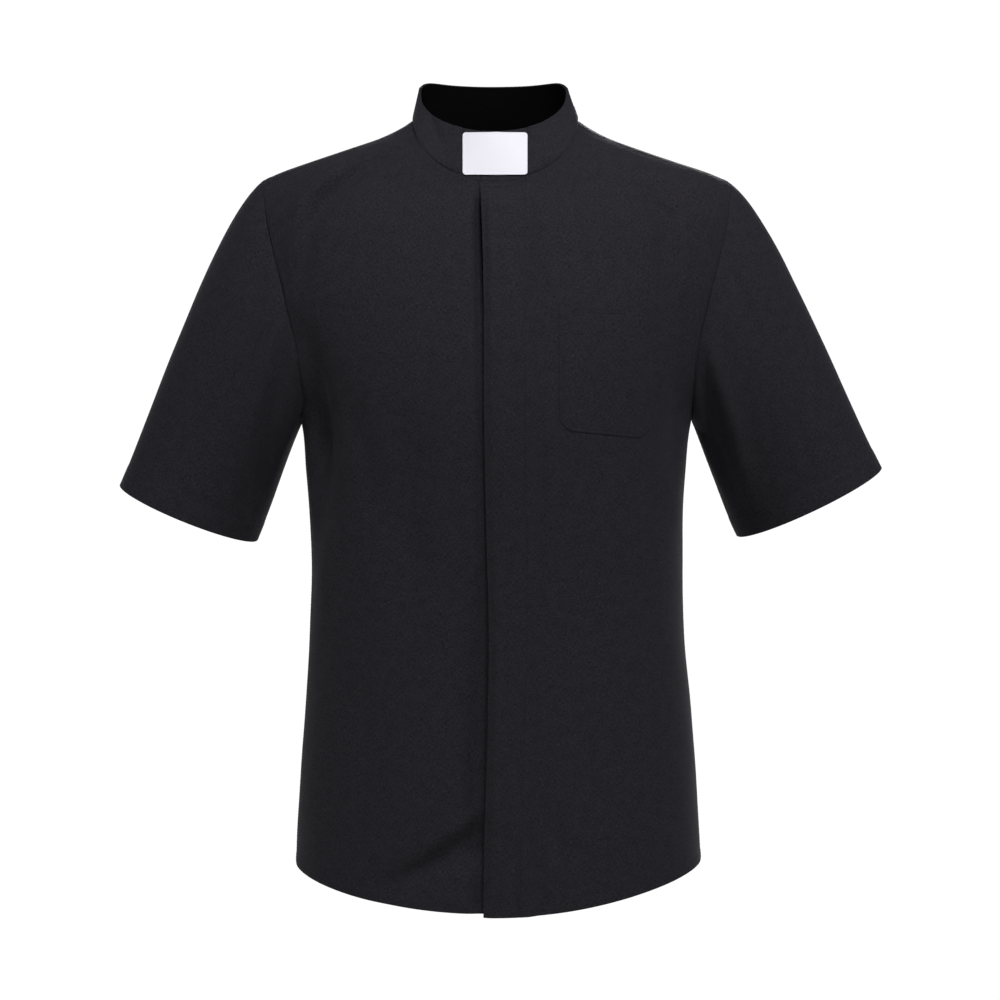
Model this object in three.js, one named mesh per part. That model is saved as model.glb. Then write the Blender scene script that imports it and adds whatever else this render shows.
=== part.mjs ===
// Clergy shirt with short sleeves, a banded collar with a white tab, a fly front and a chest pocket,
// filled out as on a wearer. Millimetres, +X to the wearer's left, +Y to the wearer's back, +Z up.
// The origin lies between the two points where the shoulder ridges meet the collar.
import * as THREE from "three";

// Driving dimensions.
const CLOTH = 1.2; // wall that stands for one layer of shirting
const SEAM_GAP = 0.3; // air left between two pieces at a seam
const NECK_HALF_WIDTH = 80; // side neck point to the middle of the neck
const NECK_CENTRE_X = -1.5; // the neck sits a little to the wearer's right
const NECK_FRONT_DROP = 64; // centre front of the neck seam below the origin
const NECK_BACK_DROP = 5;
const SHOULDER_Z = -58; // top of the armhole
const UNDERARM_Z = -292;
const HEM_SIDE_Z = -722;
const HEM_FRONT_DROP = 33; // shirt tail below the side seams
const HEM_BACK_DROP = 44;
const HEM_ROUNDNESS = 1.7;
const HEM_TILT = 2; // the hem hangs this much higher at the wearer's left seam than at the centre
const OVERLAP_DROP = 3; // the upper front hangs this much below the under front
const DROP_REACH = 170; // and is level with the rest of the hem again here
const UNDER_REACH = 22; // the under front goes this far past the centre
const BESIDE_FLY = 28; // just past the fly's stitching
const CLEAR_OF_FLY = 50; // where the upper front is back on the body
const NECK_OVERLAP_DROP = 3.5; // the upper front starts this much below the under front at the neck
const YOKE_FORWARD = 26; // front yoke seam ahead of the shoulder ridge
const YOKE_BACK_DROP = 88; // back yoke seam at the centre back
const YOKE_BACK_TIP_DROP = 104; // and at the armholes

const COLLAR_TOP = {
  centreX: -3.5, halfWidth: 71, front: -68, back: 49, side: -2, frontZ: -15, sideZ: 37.5, backZ: 37,
};
const TAB = { centre: -1.8, halfWidth: 31.2, corner: 3.8, bottom: -58.8, top: -16.6 };
const NECKBAND_CLOSURE_X = -16;

// Rows of the neckband and of the collar over it, as shares of the way up.
const NECKBAND_RISES = [0, 0.3, 0.62, 0.9, 1];
const COLLAR_RISES = [0.04, 0.3, 0.62, 0.9, 1];

// Heights over the under front, along the surface's normal, of the layers of the closure.
const BUTTON = { base: 0.3, thickness: 1.5, radius: 5.5, x: 6, sides: 16 };
const BUTTON_HEIGHTS = [-124, -221, -318, -415, -512, -609];
const BAND_LIFT = 3.6;
const UPPER_LIFT = 5.4;
const UPPER_EDGE_LIFT = 2.6;
const BAND_TOP_Z = -106;
const BAND_FROM_EDGE = 9; // the band's free edge lies this far inside the upper front's

// Mesh counts: stretches between two marks on a seam.
const NECK_STEPS = 4;
const YOKE_SEAM_STEPS = 7;
const BACK_NECK_STEPS = 12;
const ARMHOLE_STEPS = 10;
const YOKE_STEPS = 6;
const SIDE_STEPS = 17;
const SLEEVE_STEPS = 11;
const BAND_STEPS = 24;

// Depth of the body at each height: centre front, centre back and side line, and the power of the
// section's outline, where 2 is an ellipse.
const DEPTHS = [
  { z: 10, front: -55, back: 52, side: 0, power: 2 },
  { z: 0, front: -59, back: 58, side: 0, power: 2 },
  { z: -20, front: -67, back: 73, side: 1, power: 2 },
  { z: -40, front: -74, back: 86, side: 2, power: 2 },
  { z: -64, front: -83, back: 97, side: 3, power: 2 },
  { z: -100, front: -99, back: 108, side: 2, power: 2.02 },
  { z: -150, front: -114, back: 115, side: 0, power: 2.06 },
  { z: -200, front: -124, back: 117, side: -2, power: 2.1 },
  { z: -250, front: -129, back: 114, side: -3, power: 2.15 },
  { z: -300, front: -129, back: 109, side: -4, power: 2.2 },
  { z: -360, front: -124, back: 101, side: -6, power: 2.25 },
  { z: -440, front: -118, back: 96, side: -8, power: 2.3 },
  { z: -520, front: -117, back: 99, side: -8, power: 2.3 },
  { z: -600, front: -120, back: 106, side: -7, power: 2.3 },
  { z: -680, front: -125, back: 112, side: -6, power: 2.3 },
  { z: -780, front: -129, back: 115, side: -6, power: 2.3 },
];

// Half width of the body at each height, to the wearer's right and left. Down to the shoulder it is
// the shoulder ridge, and through the armhole it is the body that the armhole is cut from.
const WIDTHS = [
  { z: 10, right: 62, left: 62 },
  { z: 0, right: 82, left: 79.5 },
  { z: -6, right: 91, left: 88 },
  { z: -17, right: 114, left: 109 },
  { z: -28, right: 147, left: 139 },
  { z: -40, right: 183, left: 174 },
  { z: -50, right: 211, left: 205 },
  { z: -58, right: 228, left: 224 },
  { z: -66, right: 240, left: 238 },
  { z: -80, right: 251, left: 250 },
  { z: -100, right: 255, left: 255 },
  { z: -130, right: 251, left: 251 },
  { z: -160, right: 243, left: 243 },
  { z: -190, right: 231, left: 231 },
  { z: -220, right: 218, left: 218 },
  { z: -250, right: 206, left: 205 },
  { z: -275, right: 197, left: 195 },
  { z: -292, right: 191, left: 189.5 },
  { z: -340, right: 186, left: 184 },
  { z: -420, right: 181, left: 181 },
  { z: -500, right: 183, left: 183 },
  { z: -580, right: 188, left: 190 },
  { z: -660, right: 194, left: 196 },
  { z: -780, right: 199, left: 203 },
];

// Armhole seam: its distance from the centre at each height, on the front and on the back.
const ARMHOLES = [
  { z: -58, front: 228, back: 228 },
  { z: -80, front: 224, back: 226 },
  { z: -100, front: 221, back: 223 },
  { z: -130, front: 214, back: 217 },
  { z: -160, front: 206, back: 210 },
  { z: -190, front: 199, back: 203 },
  { z: -220, front: 192, back: 196 },
  { z: -250, front: 189, back: 190.5 },
  { z: -275, front: 188.5, back: 189 },
  { z: -285, front: 189, back: 189 },
  { z: -292, front: 190, back: 190 },
];

// Fly front: its free edge and its stitched edge at each height.
const FLY = [
  { z: -60, edge: -15.5, stitch: 26.5 },
  { z: -150, edge: -12.5, stitch: 26.5 },
  { z: -300, edge: -11.5, stitch: 25.5 },
  { z: -400, edge: -9.5, stitch: 27 },
  { z: -490, edge: -7.5, stitch: 27.5 },
  { z: -600, edge: -9, stitch: 24.5 },
  { z: -700, edge: -12, stitch: 21.5 },
  { z: -780, edge: -12.5, stitch: 20 },
];

// The largest folds. Each is a soft trough (a negative depth) or ridge along a line of points (x, z)
// on the front or the back.
const FOLDS = [
  { face: "front", depth: -4, width: 13, line: [[-112, -40], [-146, -60], [-170, -84], [-188, -116]] },
  { face: "front", depth: 3, width: 11, line: [[-100, -27], [-152, -50], [-180, -80], [-197, -120]] },
  { face: "front", depth: -15, width: 21, line: [[-184, -220], [-171, -282], [-169, -340], [-174, -420]] },
  { face: "front", depth: -5, width: 15, line: [[182, -180], [178, -270], [172, -330]] },
  { face: "front", depth: -5, width: 14, line: [[-26, -440], [-27, -560], [-24, -690]] },
  { face: "front", depth: -6, width: 15, line: [[-16, -684], [-54, -704], [-100, -730]] },
  { face: "front", depth: -3, width: 26, line: [[-85, -300], [-95, -440]] },
  { face: "front", depth: -3, width: 14, line: [[132, -62], [157, -96], [168, -150]] },
  { face: "back", depth: -5, width: 18, line: [[-186, -215], [-150, -330], [-125, -450]] },
  { face: "back", depth: -5, width: 18, line: [[184, -220], [146, -340], [112, -440]] },
  { face: "back", depth: -5, width: 26, line: [[-60, -330], [-52, -430], [-70, -560]] },
  { face: "back", depth: -5, width: 24, line: [[44, -350], [58, -470], [50, -600]] },
  { face: "back", depth: 4, width: 24, line: [[-4, -380], [4, -470], [-8, -600]] },
];

// Cuff of each sleeve: the outer and the inner end of its mouth. The inner end lies further back, so
// the sleeve's front turns away towards the body.
const CUFFS = {
  right: { sign: -1, outer: [-368, -8, -354], inner: [-237, 24, -410] },
  left: { sign: 1, outer: [374.5, -12, -337], inner: [238, 32, -406] },
};
const CUFF_HALF_DEPTH = 54;
const CUFF_FRONT_DIP = 0.12; // the front of the mouth hangs lower than its back, per mm of depth

// How a sleeve leaves the armhole at its top and at the underarm, and how far that carries.
const SLEEVE_CAP = { down: 0.57, out: 0.82, carry: 0.5 };
const SLEEVE_UNDER = { down: 0.9, out: 0.44, carry: 0.5 };
const SLEEVE_SWELL = 0.3; // the front and back of the sleeve head stand out by this share

// Pocket on the wearer's left chest, from its own corner marks on the front.
const POCKET = { left: 58.5, right: 145, topLeft: -188, topRight: -193, lowLeft: -298, lowRight: -307 };
const POCKET_CORNER = 9;

const vec = (x, y, z) => new THREE.Vector3(x, y, z);
const mix = (a, b, t) => a + (b - a) * t;

// Smooth step from 0 at one value to 1 at another, either way round.
function ease(from, to, value) {
  const t = THREE.MathUtils.clamp((value - from) / (to - from), 0, 1);
  return t * t * (3 - 2 * t);
}

// Smooth curve through one column of a table, read by height.
function column(rows, name) {
  const slope = (a, b) => (b[name] - a[name]) / (b.z - a.z);
  return (z) => {
    const last = rows.length - 1;
    if (z >= rows[0].z) return rows[0][name];
    if (z <= rows[last].z) return rows[last][name];
    const k = rows.findIndex((row, i) => i < last && z <= row.z && z > rows[i + 1].z);
    const a = rows[k];
    const b = rows[k + 1];
    const before = k > 0 ? (slope(rows[k - 1], a) + slope(a, b)) / 2 : slope(a, b);
    const after = k + 2 <= last ? (slope(a, b) + slope(b, rows[k + 2])) / 2 : slope(a, b);
    const span = b.z - a.z;
    const t = (z - a.z) / span;
    const rise = b[name] - a[name];
    return a[name] + t * t * (3 - 2 * t) * rise + span * t * (1 - t) * ((1 - t) * before - t * after);
  };
}

const body = {
  front: column(DEPTHS, "front"),
  back: column(DEPTHS, "back"),
  side: column(DEPTHS, "side"),
  power: column(DEPTHS, "power"),
  right: column(WIDTHS, "right"),
  left: column(WIDTHS, "left"),
};
const armhole = { front: column(ARMHOLES, "front"), back: column(ARMHOLES, "back") };
const fly = { edge: column(FLY, "edge"), stitch: column(FLY, "stitch") };

const halfWidth = (x, z) => (x < 0 ? body.right(z) : body.left(z));

// Point of the body's plain form at a turn round it: 0 is the centre front, a quarter the wearer's
// left side and a half the centre back.
function form(turn, z) {
  const sine = Math.sin(turn);
  const power = body.power(z);
  const middle = body.side(z);
  const reach = Math.cos(turn) > 0 ? body.front(z) - middle : body.back(z) - middle;
  const depth = Math.max(0, 1 - Math.abs(sine) ** power) ** (1 / power);
  return vec(sine * halfWidth(sine, z), middle + reach * depth, z);
}

// Turn at which the plain form has a given x at a height, on the front or the back.
function turnAt(x, z, face) {
  const turn = Math.asin(THREE.MathUtils.clamp(x / halfWidth(x, z), -1, 1));
  return face === "front" ? turn : Math.PI - turn;
}

// Below 1 inside the plain form, 1 on it and above 1 outside.
function fullness(point) {
  const middle = body.side(point.z);
  const reach = point.y < middle ? body.front(point.z) - middle : body.back(point.z) - middle;
  const power = body.power(point.z);
  const across = Math.abs(point.x) / halfWidth(point.x, point.z);
  return across ** power + Math.abs((point.y - middle) / reach) ** power;
}

// Outward normal of the plain form.
function formNormal(point) {
  const step = 0.5;
  const slope = (way) => fullness(point.clone().addScaledVector(way, step))
    - fullness(point.clone().addScaledVector(way, -step));
  return vec(slope(vec(1, 0, 0)), slope(vec(0, 1, 0)), slope(vec(0, 0, 1))).normalize();
}

// Where a ray from inside the body meets its plain form.
function castRay(start, direction) {
  let near = 0;
  let far = 260;
  for (let i = 0; i < 40; i++) {
    const middle = (near + far) / 2;
    if (fullness(start.clone().addScaledVector(direction, middle)) < 1) near = middle;
    else far = middle;
  }
  return start.clone().addScaledVector(direction, near);
}

// Height of the folds over the plain form at a point of it.
function foldHeight(point, face) {
  let height = 0;
  for (const fold of FOLDS) {
    if (fold.face !== face) continue;
    let nearest = Infinity;
    let along = 0;
    const pieces = fold.line.length - 1;
    for (let i = 0; i < pieces; i++) {
      const [ax, az] = fold.line[i];
      const [bx, bz] = fold.line[i + 1];
      const [dx, dz] = [bx - ax, bz - az];
      const t = ((point.x - ax) * dx + (point.z - az) * dz) / (dx * dx + dz * dz);
      const held = THREE.MathUtils.clamp(t, 0, 1);
      const gap = Math.hypot(point.x - ax - held * dx, point.z - az - held * dz);
      if (gap < nearest) {
        nearest = gap;
        along = (i + held) / pieces;
      }
    }
    const fade = Math.sin(Math.PI * mix(0.12, 0.88, along));
    height += fold.depth * fade * Math.exp(-((nearest / fold.width) ** 2));
  }
  return height;
}

// Folds die away towards the side seams, the armholes and the yoke.
function foldLevel(point, turn) {
  const { x, y, z } = point;
  const fromArmhole = ease(-3, 15, armhole.front(z) - Math.abs(x));
  const side = ease(0.04, 0.46, Math.abs(Math.cos(turn)))
    * mix(1, fromArmhole, ease(UNDERARM_Z, UNDERARM_Z + 40, z));
  if (Math.cos(turn) > 0) return side * ease(YOKE_FORWARD + 2, YOKE_FORWARD + 36, -y);
  return side * ease(-YOKE_BACK_TIP_DROP - 6, -YOKE_BACK_TIP_DROP - 80, z);
}

// Spot on the shirt's outer face, with its folds, moved out by a distance.
function skin(turn, z, out = 0) {
  const point = form(turn, z);
  const normal = formNormal(point);
  const face = Math.cos(turn) > 0 ? "front" : "back";
  const height = foldHeight(point, face) * foldLevel(point, turn) + out;
  return { point: point.addScaledVector(normal, height), normal };
}

// Neck seam: turn 0 is the centre front, a quarter the wearer's left and a half the centre back.
function neckPoint(turn) {
  const cosine = Math.cos(turn);
  const drop = cosine > 0 ? NECK_FRONT_DROP : NECK_BACK_DROP;
  const z = -drop * Math.abs(cosine);
  const x = NECK_CENTRE_X + NECK_HALF_WIDTH * Math.sin(turn);
  return form(turnAt(x, z, cosine > 0 ? "front" : "back"), z);
}

// Turn of the neck seam where it meets the front seam of the yoke.
function yokeTurn() {
  let low = 0;
  let high = Math.PI / 2;
  for (let i = 0; i < 40; i++) {
    const middle = (low + high) / 2;
    if (neckPoint(middle).y < -YOKE_FORWARD) low = middle;
    else high = middle;
  }
  return low;
}
const YOKE_TURN = yokeTurn();

// Point of the armhole where the front seam of the yoke reaches it.
function armholeFrontTop(side) {
  let z = SHOULDER_Z - 2;
  const at = (height) => form(turnAt(side * armhole.front(height), height, "front"), height);
  while (at(z).y > -YOKE_FORWARD) z -= 0.25;
  return at(z);
}

// Front seam of the yoke, from the neck to the armhole.
function frontYokePoint(side, share) {
  const start = neckPoint(YOKE_TURN * side);
  const end = armholeFrontTop(side);
  const below = vec(mix(start.x, end.x, share), mix(start.y, end.y, share), -110);
  return castRay(below, vec(0, 0, 1));
}

const backYokeZ = (share) => -mix(YOKE_BACK_DROP, YOKE_BACK_TIP_DROP, share * share);

function hemZ(turn) {
  const drop = Math.cos(turn) > 0 ? HEM_FRONT_DROP : HEM_BACK_DROP;
  return HEM_SIDE_Z - drop * Math.abs(Math.cos(turn)) ** HEM_ROUNDNESS + HEM_TILT * Math.sin(turn);
}

// Heights up the side seam and then the armhole.
function sideHeights(topZ, lowZ) {
  const heights = [];
  for (let k = 0; k < SIDE_STEPS; k++) heights.push(mix(lowZ, UNDERARM_Z, k / SIDE_STEPS));
  for (let k = 0; k <= ARMHOLE_STEPS; k++) {
    heights.push(mix(UNDERARM_Z, topZ, 0.5 - 0.5 * Math.cos((Math.PI * k) / ARMHOLE_STEPS)));
  }
  return heights;
}

// Distance from the centre of a panel's side edge: the side seam and then the armhole.
const sideX = (side, face, z) => side * (z <= UNDERARM_Z ? halfWidth(side, z) : armhole[face](z));

// Grid of [turn, z] of a panel. Low is the turn of each column at the hem and top is each column's
// end as [x, z]. Below the underarm the columns keep their turn, and above it they move over to
// their ends. Sides gives the x of the first and the last column at a height.
function panelMarks(face, low, top, heights, sides) {
  const last = heights.length - 1;
  const across = low.length - 1;
  return heights.map((height) => {
    const over = ease(UNDERARM_Z, heights[last], height);
    const under = Math.max(0, (height - UNDERARM_Z) / (heights[0] - UNDERARM_Z));
    const places = low.map((turn, i) => {
      const toHem = (hemZ(turn) - heights[0]) * under;
      const z = height + toHem + (top[i][1] - heights[last]) * over;
      return [mix(halfWidth(Math.sin(turn), z) * Math.sin(turn), top[i][0], over), z];
    });
    const pulls = [places[0], places[across]].map(([x, z], k) => sides[k](z) - x);
    return places.map(([x, z], i) => {
      const u = i / across;
      const onSeam = over === 0 && (i === across || (i === 0 && face === "back"));
      if (onSeam) return [low[i], z];
      return [turnAt(x + pulls[0] * (1 - u) ** 2 + pulls[1] * u ** 2, z, face), z];
    });
  });
}

const neckTurnAtX = (x) => Math.asin((x - NECK_CENTRE_X) / NECK_HALF_WIDTH);
const neckZAtX = (x) => -NECK_FRONT_DROP * Math.cos(neckTurnAtX(x));

// Grid of a front from its centre edge to its side, rows from the hem up. Its first columns follow
// the lines of the closure, each a function of height.
function frontMarks(side, lines) {
  const topZ = armholeFrontTop(side).z;
  const heights = sideHeights(topZ, hemZ((side * Math.PI) / 2));
  const lastLine = lines[lines.length - 1];
  const neckStart = neckTurnAtX(lastLine(-NECK_FRONT_DROP));
  const top = [];
  for (let k = 0; k < NECK_STEPS; k++) {
    const point = neckPoint(mix(neckStart, YOKE_TURN * side, k / NECK_STEPS));
    top.push([point.x, point.z]);
  }
  for (let k = 0; k <= YOKE_SEAM_STEPS; k++) {
    const point = frontYokePoint(side, k / YOKE_SEAM_STEPS);
    top.push([point.x, point.z]);
  }
  const columns = top.length - 1;
  const hemStart = turnAt(lastLine(HEM_SIDE_Z - HEM_FRONT_DROP), HEM_SIDE_Z, "front");
  const low = top.map((_, k) => mix(hemStart, (side * Math.PI) / 2, k / columns));
  const rest = panelMarks("front", low, top, heights, [lastLine, (z) => sideX(side, "front", z)]);
  const leading = lines.slice(0, -1).map((line) => {
    const foot = hemZ(turnAt(line(HEM_SIDE_Z - HEM_FRONT_DROP), HEM_SIDE_Z, "front"));
    const head = neckZAtX(line(-NECK_FRONT_DROP));
    return rest.map(([[, z]]) => {
      const v = (z - rest[0][0][1]) / (rest[rest.length - 1][0][1] - rest[0][0][1]);
      const here = mix(foot, head, v);
      return [turnAt(line(here), here, "front"), here];
    });
  });
  return rest.map((row, j) => [...leading.map((line) => line[j]), ...row]);
}

// Panel made of a grid of spots: its outer points and the way to its inner face at each.
function panelFrom(spots) {
  return {
    points: spots.map((row) => row.map((spot) => spot.point)),
    inward: spots.map((row) => row.map((spot) => spot.normal.clone().multiplyScalar(-CLOTH))),
  };
}

// The under front, on the wearer's right, reaches past the centre beneath the fly. Columns run to the
// right as seen from outside, so the side comes first.
const rightLines = [UNDER_REACH, 3, NECKBAND_CLOSURE_X, -BESIDE_FLY, -CLEAR_OF_FLY].map((x) => () => x);
const rightMarks = frontMarks(-1, rightLines);
const frontRight = panelFrom(rightMarks.map((row) =>
  row.map(([turn, z]) => skin(turn, z)).reverse()));

// The upper front, on the wearer's left, lies over it and comes down to the body beside the fly.
// Its free edge is rolled towards the under front.
function upperLift(x, z) {
  const edge = fly.edge(z);
  const rolled = mix(UPPER_EDGE_LIFT, UPPER_LIFT, ease(edge, edge + 8, x));
  const atNeck = mix(UPPER_EDGE_LIFT, rolled, ease(-66, -88, z));
  return atNeck * (1 - ease(BESIDE_FLY, CLEAR_OF_FLY, x));
}
function upperDrop(x, z) {
  const atHem = OVERLAP_DROP * ease(-600, -750, z) * (1 - ease(BESIDE_FLY, DROP_REACH, x));
  return atHem + NECK_OVERLAP_DROP * ease(-110, -62, z) * (1 - ease(12, BESIDE_FLY, x));
}
const rollX = (z) => fly.edge(z) + 8;
const middleX = (z) => (rollX(z) + BESIDE_FLY) / 2;
const leftLines = [fly.edge, rollX, middleX, () => BESIDE_FLY, () => CLEAR_OF_FLY];
const frontLeft = panelFrom(frontMarks(1, leftLines).map((row) => row.map(([turn, z]) => {
  const x = form(turn, z).x;
  return skin(turn, z - upperDrop(x, z), upperLift(x, z));
})));

// Back: one piece from the yoke seam to the hem.
function backMarks() {
  const columns = 2 * YOKE_SEAM_STEPS + BACK_NECK_STEPS;
  const low = [];
  const top = [];
  for (let k = 0; k <= columns; k++) {
    const share = 1 - (2 * k) / columns;
    top.push([share * armhole.back(-YOKE_BACK_TIP_DROP), backYokeZ(share)]);
    low.push(mix(Math.PI / 2, 1.5 * Math.PI, k / columns));
  }
  const heights = sideHeights(-YOKE_BACK_TIP_DROP, HEM_SIDE_Z);
  const sides = [1, -1].map((side) => (z) => sideX(side, "back", z));
  return panelMarks("back", low, top, heights, sides);
}
const back = panelFrom(backMarks().map((row) => row.map(([turn, z]) => skin(turn, z))));

// Point on the body between two points of it, at a share of the turn about a line under the shoulders.
function overShoulder(from, to, share) {
  const pivotZ = -120;
  const angle = (point) => Math.atan2(point.y, point.z - pivotZ);
  const here = mix(angle(from), angle(to), share);
  return castRay(vec(mix(from.x, to.x, share), 0, pivotZ), vec(0, Math.sin(here), Math.cos(here)));
}

// Yoke: from the back seam over the shoulders to the neck and the front seams. Columns run from the
// wearer's left armhole round the back of the neck to the right one.
function yokePanel() {
  const front = [];
  for (let k = 0; k < YOKE_SEAM_STEPS; k++) front.push(frontYokePoint(1, 1 - k / YOKE_SEAM_STEPS));
  for (let k = 0; k <= BACK_NECK_STEPS; k++) {
    front.push(neckPoint(mix(YOKE_TURN, 2 * Math.PI - YOKE_TURN, k / BACK_NECK_STEPS)));
  }
  for (let k = 1; k <= YOKE_SEAM_STEPS; k++) front.push(frontYokePoint(-1, k / YOKE_SEAM_STEPS));
  const low = back.points[back.points.length - 1];
  const spots = [];
  for (let j = 0; j <= YOKE_STEPS; j++) {
    spots.push(front.map((point, i) => {
      const here = overShoulder(low[i], point, j / YOKE_STEPS);
      const held = j === 0 ? low[i].clone() : j === YOKE_STEPS ? point.clone() : here;
      return { point: held, normal: formNormal(held) };
    }));
  }
  return panelFrom(spots);
}
const yoke = yokePanel();

// Armhole of one side as spots on the panels round it, from the underarm up the front, over the
// yoke's end and down the back.
function armholeSpots(side) {
  const top = back.points.length - 1;
  const front = side > 0 ? frontLeft : frontRight;
  const frontColumn = side > 0 ? front.points[0].length - 1 : 0;
  const backColumn = side > 0 ? 0 : back.points[0].length - 1;
  const yokeColumn = side > 0 ? 0 : yoke.points[0].length - 1;
  const spots = [];
  for (let j = SIDE_STEPS; j < top; j++) spots.push({ panel: front, j, i: frontColumn });
  for (let j = YOKE_STEPS; j > 0; j--) spots.push({ panel: yoke, j, i: yokeColumn });
  for (let j = top; j > SIDE_STEPS; j--) spots.push({ panel: back, j, i: backColumn });
  return { spots, underarm: { panel: back, j: SIDE_STEPS, i: backColumn } };
}

// Point of a smooth curve with given ends and end directions.
function hermite(start, end, leave, arrive, s) {
  const s2 = s * s;
  const s3 = s2 * s;
  return vec(0, 0, 0)
    .addScaledVector(start, 2 * s3 - 3 * s2 + 1)
    .addScaledVector(leave, s3 - 2 * s2 + s)
    .addScaledVector(end, 3 * s2 - 2 * s3)
    .addScaledVector(arrive, s3 - s2);
}

// Turn round the sleeve of each armhole spot: 0 at the underarm, half a turn at the shoulder.
function sleeveTurns(points) {
  const count = points.length;
  const lengths = [0];
  for (let k = 1; k <= count; k++) lengths.push(lengths[k - 1] + points[k % count].distanceTo(points[k - 1]));
  const highest = Math.max(...points.map((point) => point.z));
  const peak = points.findIndex((point) => point.z === highest);
  return points.map((_, k) => {
    if (k <= peak) return (Math.PI * lengths[k]) / lengths[peak];
    return Math.PI * (1 + (lengths[k] - lengths[peak]) / (lengths[count] - lengths[peak]));
  });
}

function sleevePanel(name) {
  const { sign, outer, inner } = CUFFS[name];
  const { spots, underarm } = armholeSpots(sign);
  const ring = spots.map(({ panel, j, i }) => panel.points[j][i]);
  const turns = sleeveTurns(ring);
  const centre = vec(...outer).add(vec(...inner)).divideScalar(2);
  const across = vec(...outer).sub(vec(...inner)).divideScalar(2);
  const axis = vec(across.z * sign, 0, -Math.abs(across.x)).normalize();
  const forward = vec(0, -CUFF_HALF_DEPTH, -CUFF_HALF_DEPTH * CUFF_FRONT_DIP);
  const rows = [];
  for (let j = 0; j <= SLEEVE_STEPS; j++) {
    rows.push(ring.map((point, k) => {
      const facing = Math.sin(turns[k]);
      const high = 0.5 - 0.5 * Math.cos(turns[k]);
      const start = point.clone().add(vec(sign * (SEAM_GAP + 0.1), 0, 0));
      const end = centre.clone()
        .addScaledVector(across, -Math.cos(turns[k]))
        .addScaledVector(forward, facing);
      const reach = start.distanceTo(end);
      const leave = vec(
        sign * mix(SLEEVE_UNDER.out, SLEEVE_CAP.out, high),
        -SLEEVE_SWELL * facing,
        -mix(SLEEVE_UNDER.down, SLEEVE_CAP.down, high),
      ).normalize().multiplyScalar(reach * mix(SLEEVE_UNDER.carry, SLEEVE_CAP.carry, high));
      return hermite(start, end, leave, axis.clone().multiplyScalar(reach), j / SLEEVE_STEPS);
    }));
  }
  const points = rows.reverse().map((row) => (sign > 0 ? row : [...row].reverse()));
  const inward = gridNormals(points).map((row) => row.map((way) => way.multiplyScalar(-CLOTH)));
  const last = points.length - 1;
  const count = ring.length;
  spots.forEach(({ panel, j, i }, k) => {
    const at = sign > 0 ? k : count - 1 - k;
    const along = ring[(k + 1) % count].clone().sub(ring[(k - 1 + count) % count]).normalize();
    const shared = mitre(panel.inward[j][i], inward[last][at], along);
    panel.inward[j][i] = shared;
    inward[last][at] = shared.clone();
    if (k === 0) underarm.panel.inward[underarm.j][underarm.i] = shared.clone();
  });
  return { points, inward };
}

// Common way in for two walls that meet along a seam, no longer than twice the cloth.
function mitre(first, second, along) {
  const sum = first.clone().add(second);
  const way = sum.addScaledVector(along, -sum.dot(along)).normalize();
  const share = Math.max(0.5, way.dot(first.clone().normalize()));
  return way.multiplyScalar(CLOTH / share);
}

// Outward normals of a tube's grid of points, from the neighbours of each.
function gridNormals(grid) {
  const columns = grid[0].length;
  return grid.map((row, j) => row.map((_, i) => {
    const right = row[(i + 1) % columns];
    const left = row[(i - 1 + columns) % columns];
    const above = grid[Math.min(j + 1, grid.length - 1)][i];
    const below = grid[Math.max(j - 1, 0)][i];
    return right.clone().sub(left).cross(above.clone().sub(below)).normalize();
  }));
}

// Collar: a band that rises from the neck seam and leans in a little towards its top edge.
function collarPoint(turn, rise) {
  const low = neckPoint(turn).add(vec(0, 0, SEAM_GAP + 0.2));
  const cosine = Math.cos(turn);
  const { centreX, halfWidth: half, front, back: rear, side, frontZ, sideZ, backZ } = COLLAR_TOP;
  const reach = cosine > 0 ? front - side : rear - side;
  const endZ = cosine > 0 ? frontZ : backZ;
  const high = vec(
    centreX + half * Math.sin(turn),
    side + reach * Math.abs(cosine),
    mix(sideZ, endZ, cosine > 0 ? cosine ** 0.72 : cosine * cosine),
  );
  return low.lerp(high, rise);
}

function collarSpot(turn, rise, out) {
  const step = 0.02;
  const across = collarPoint(turn + step, rise).sub(collarPoint(turn - step, rise));
  const up = collarPoint(turn, Math.min(1, rise + step)).sub(collarPoint(turn, Math.max(0, rise - step)));
  const normal = across.cross(up).normalize();
  return { point: collarPoint(turn, rise).addScaledVector(normal, out), normal };
}

// Turn of the collar where it has a given x near the front.
const collarTurnAtX = (x, rise) => Math.asin(
  (x - mix(NECK_CENTRE_X, COLLAR_TOP.centreX, rise)) / mix(NECK_HALF_WIDTH, COLLAR_TOP.halfWidth, rise),
);

// Turns of the columns round the neck, from the neckband's closure by way of the wearer's left, the
// same as those of the panels sewn to it.
function neckTurns() {
  const turns = [3, UNDER_REACH, BESIDE_FLY, CLEAR_OF_FLY].map(neckTurnAtX);
  const leftEnd = turns[turns.length - 1];
  const rightEnd = neckTurnAtX(-CLEAR_OF_FLY) + 2 * Math.PI;
  for (let k = 1; k <= NECK_STEPS; k++) turns.push(mix(leftEnd, YOKE_TURN, k / NECK_STEPS));
  for (let k = 1; k <= BACK_NECK_STEPS; k++) {
    turns.push(mix(YOKE_TURN, 2 * Math.PI - YOKE_TURN, k / BACK_NECK_STEPS));
  }
  for (let k = 1; k <= NECK_STEPS; k++) turns.push(mix(2 * Math.PI - YOKE_TURN, rightEnd, k / NECK_STEPS));
  turns.push(neckTurnAtX(-BESIDE_FLY) + 2 * Math.PI);
  return turns;
}

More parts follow.
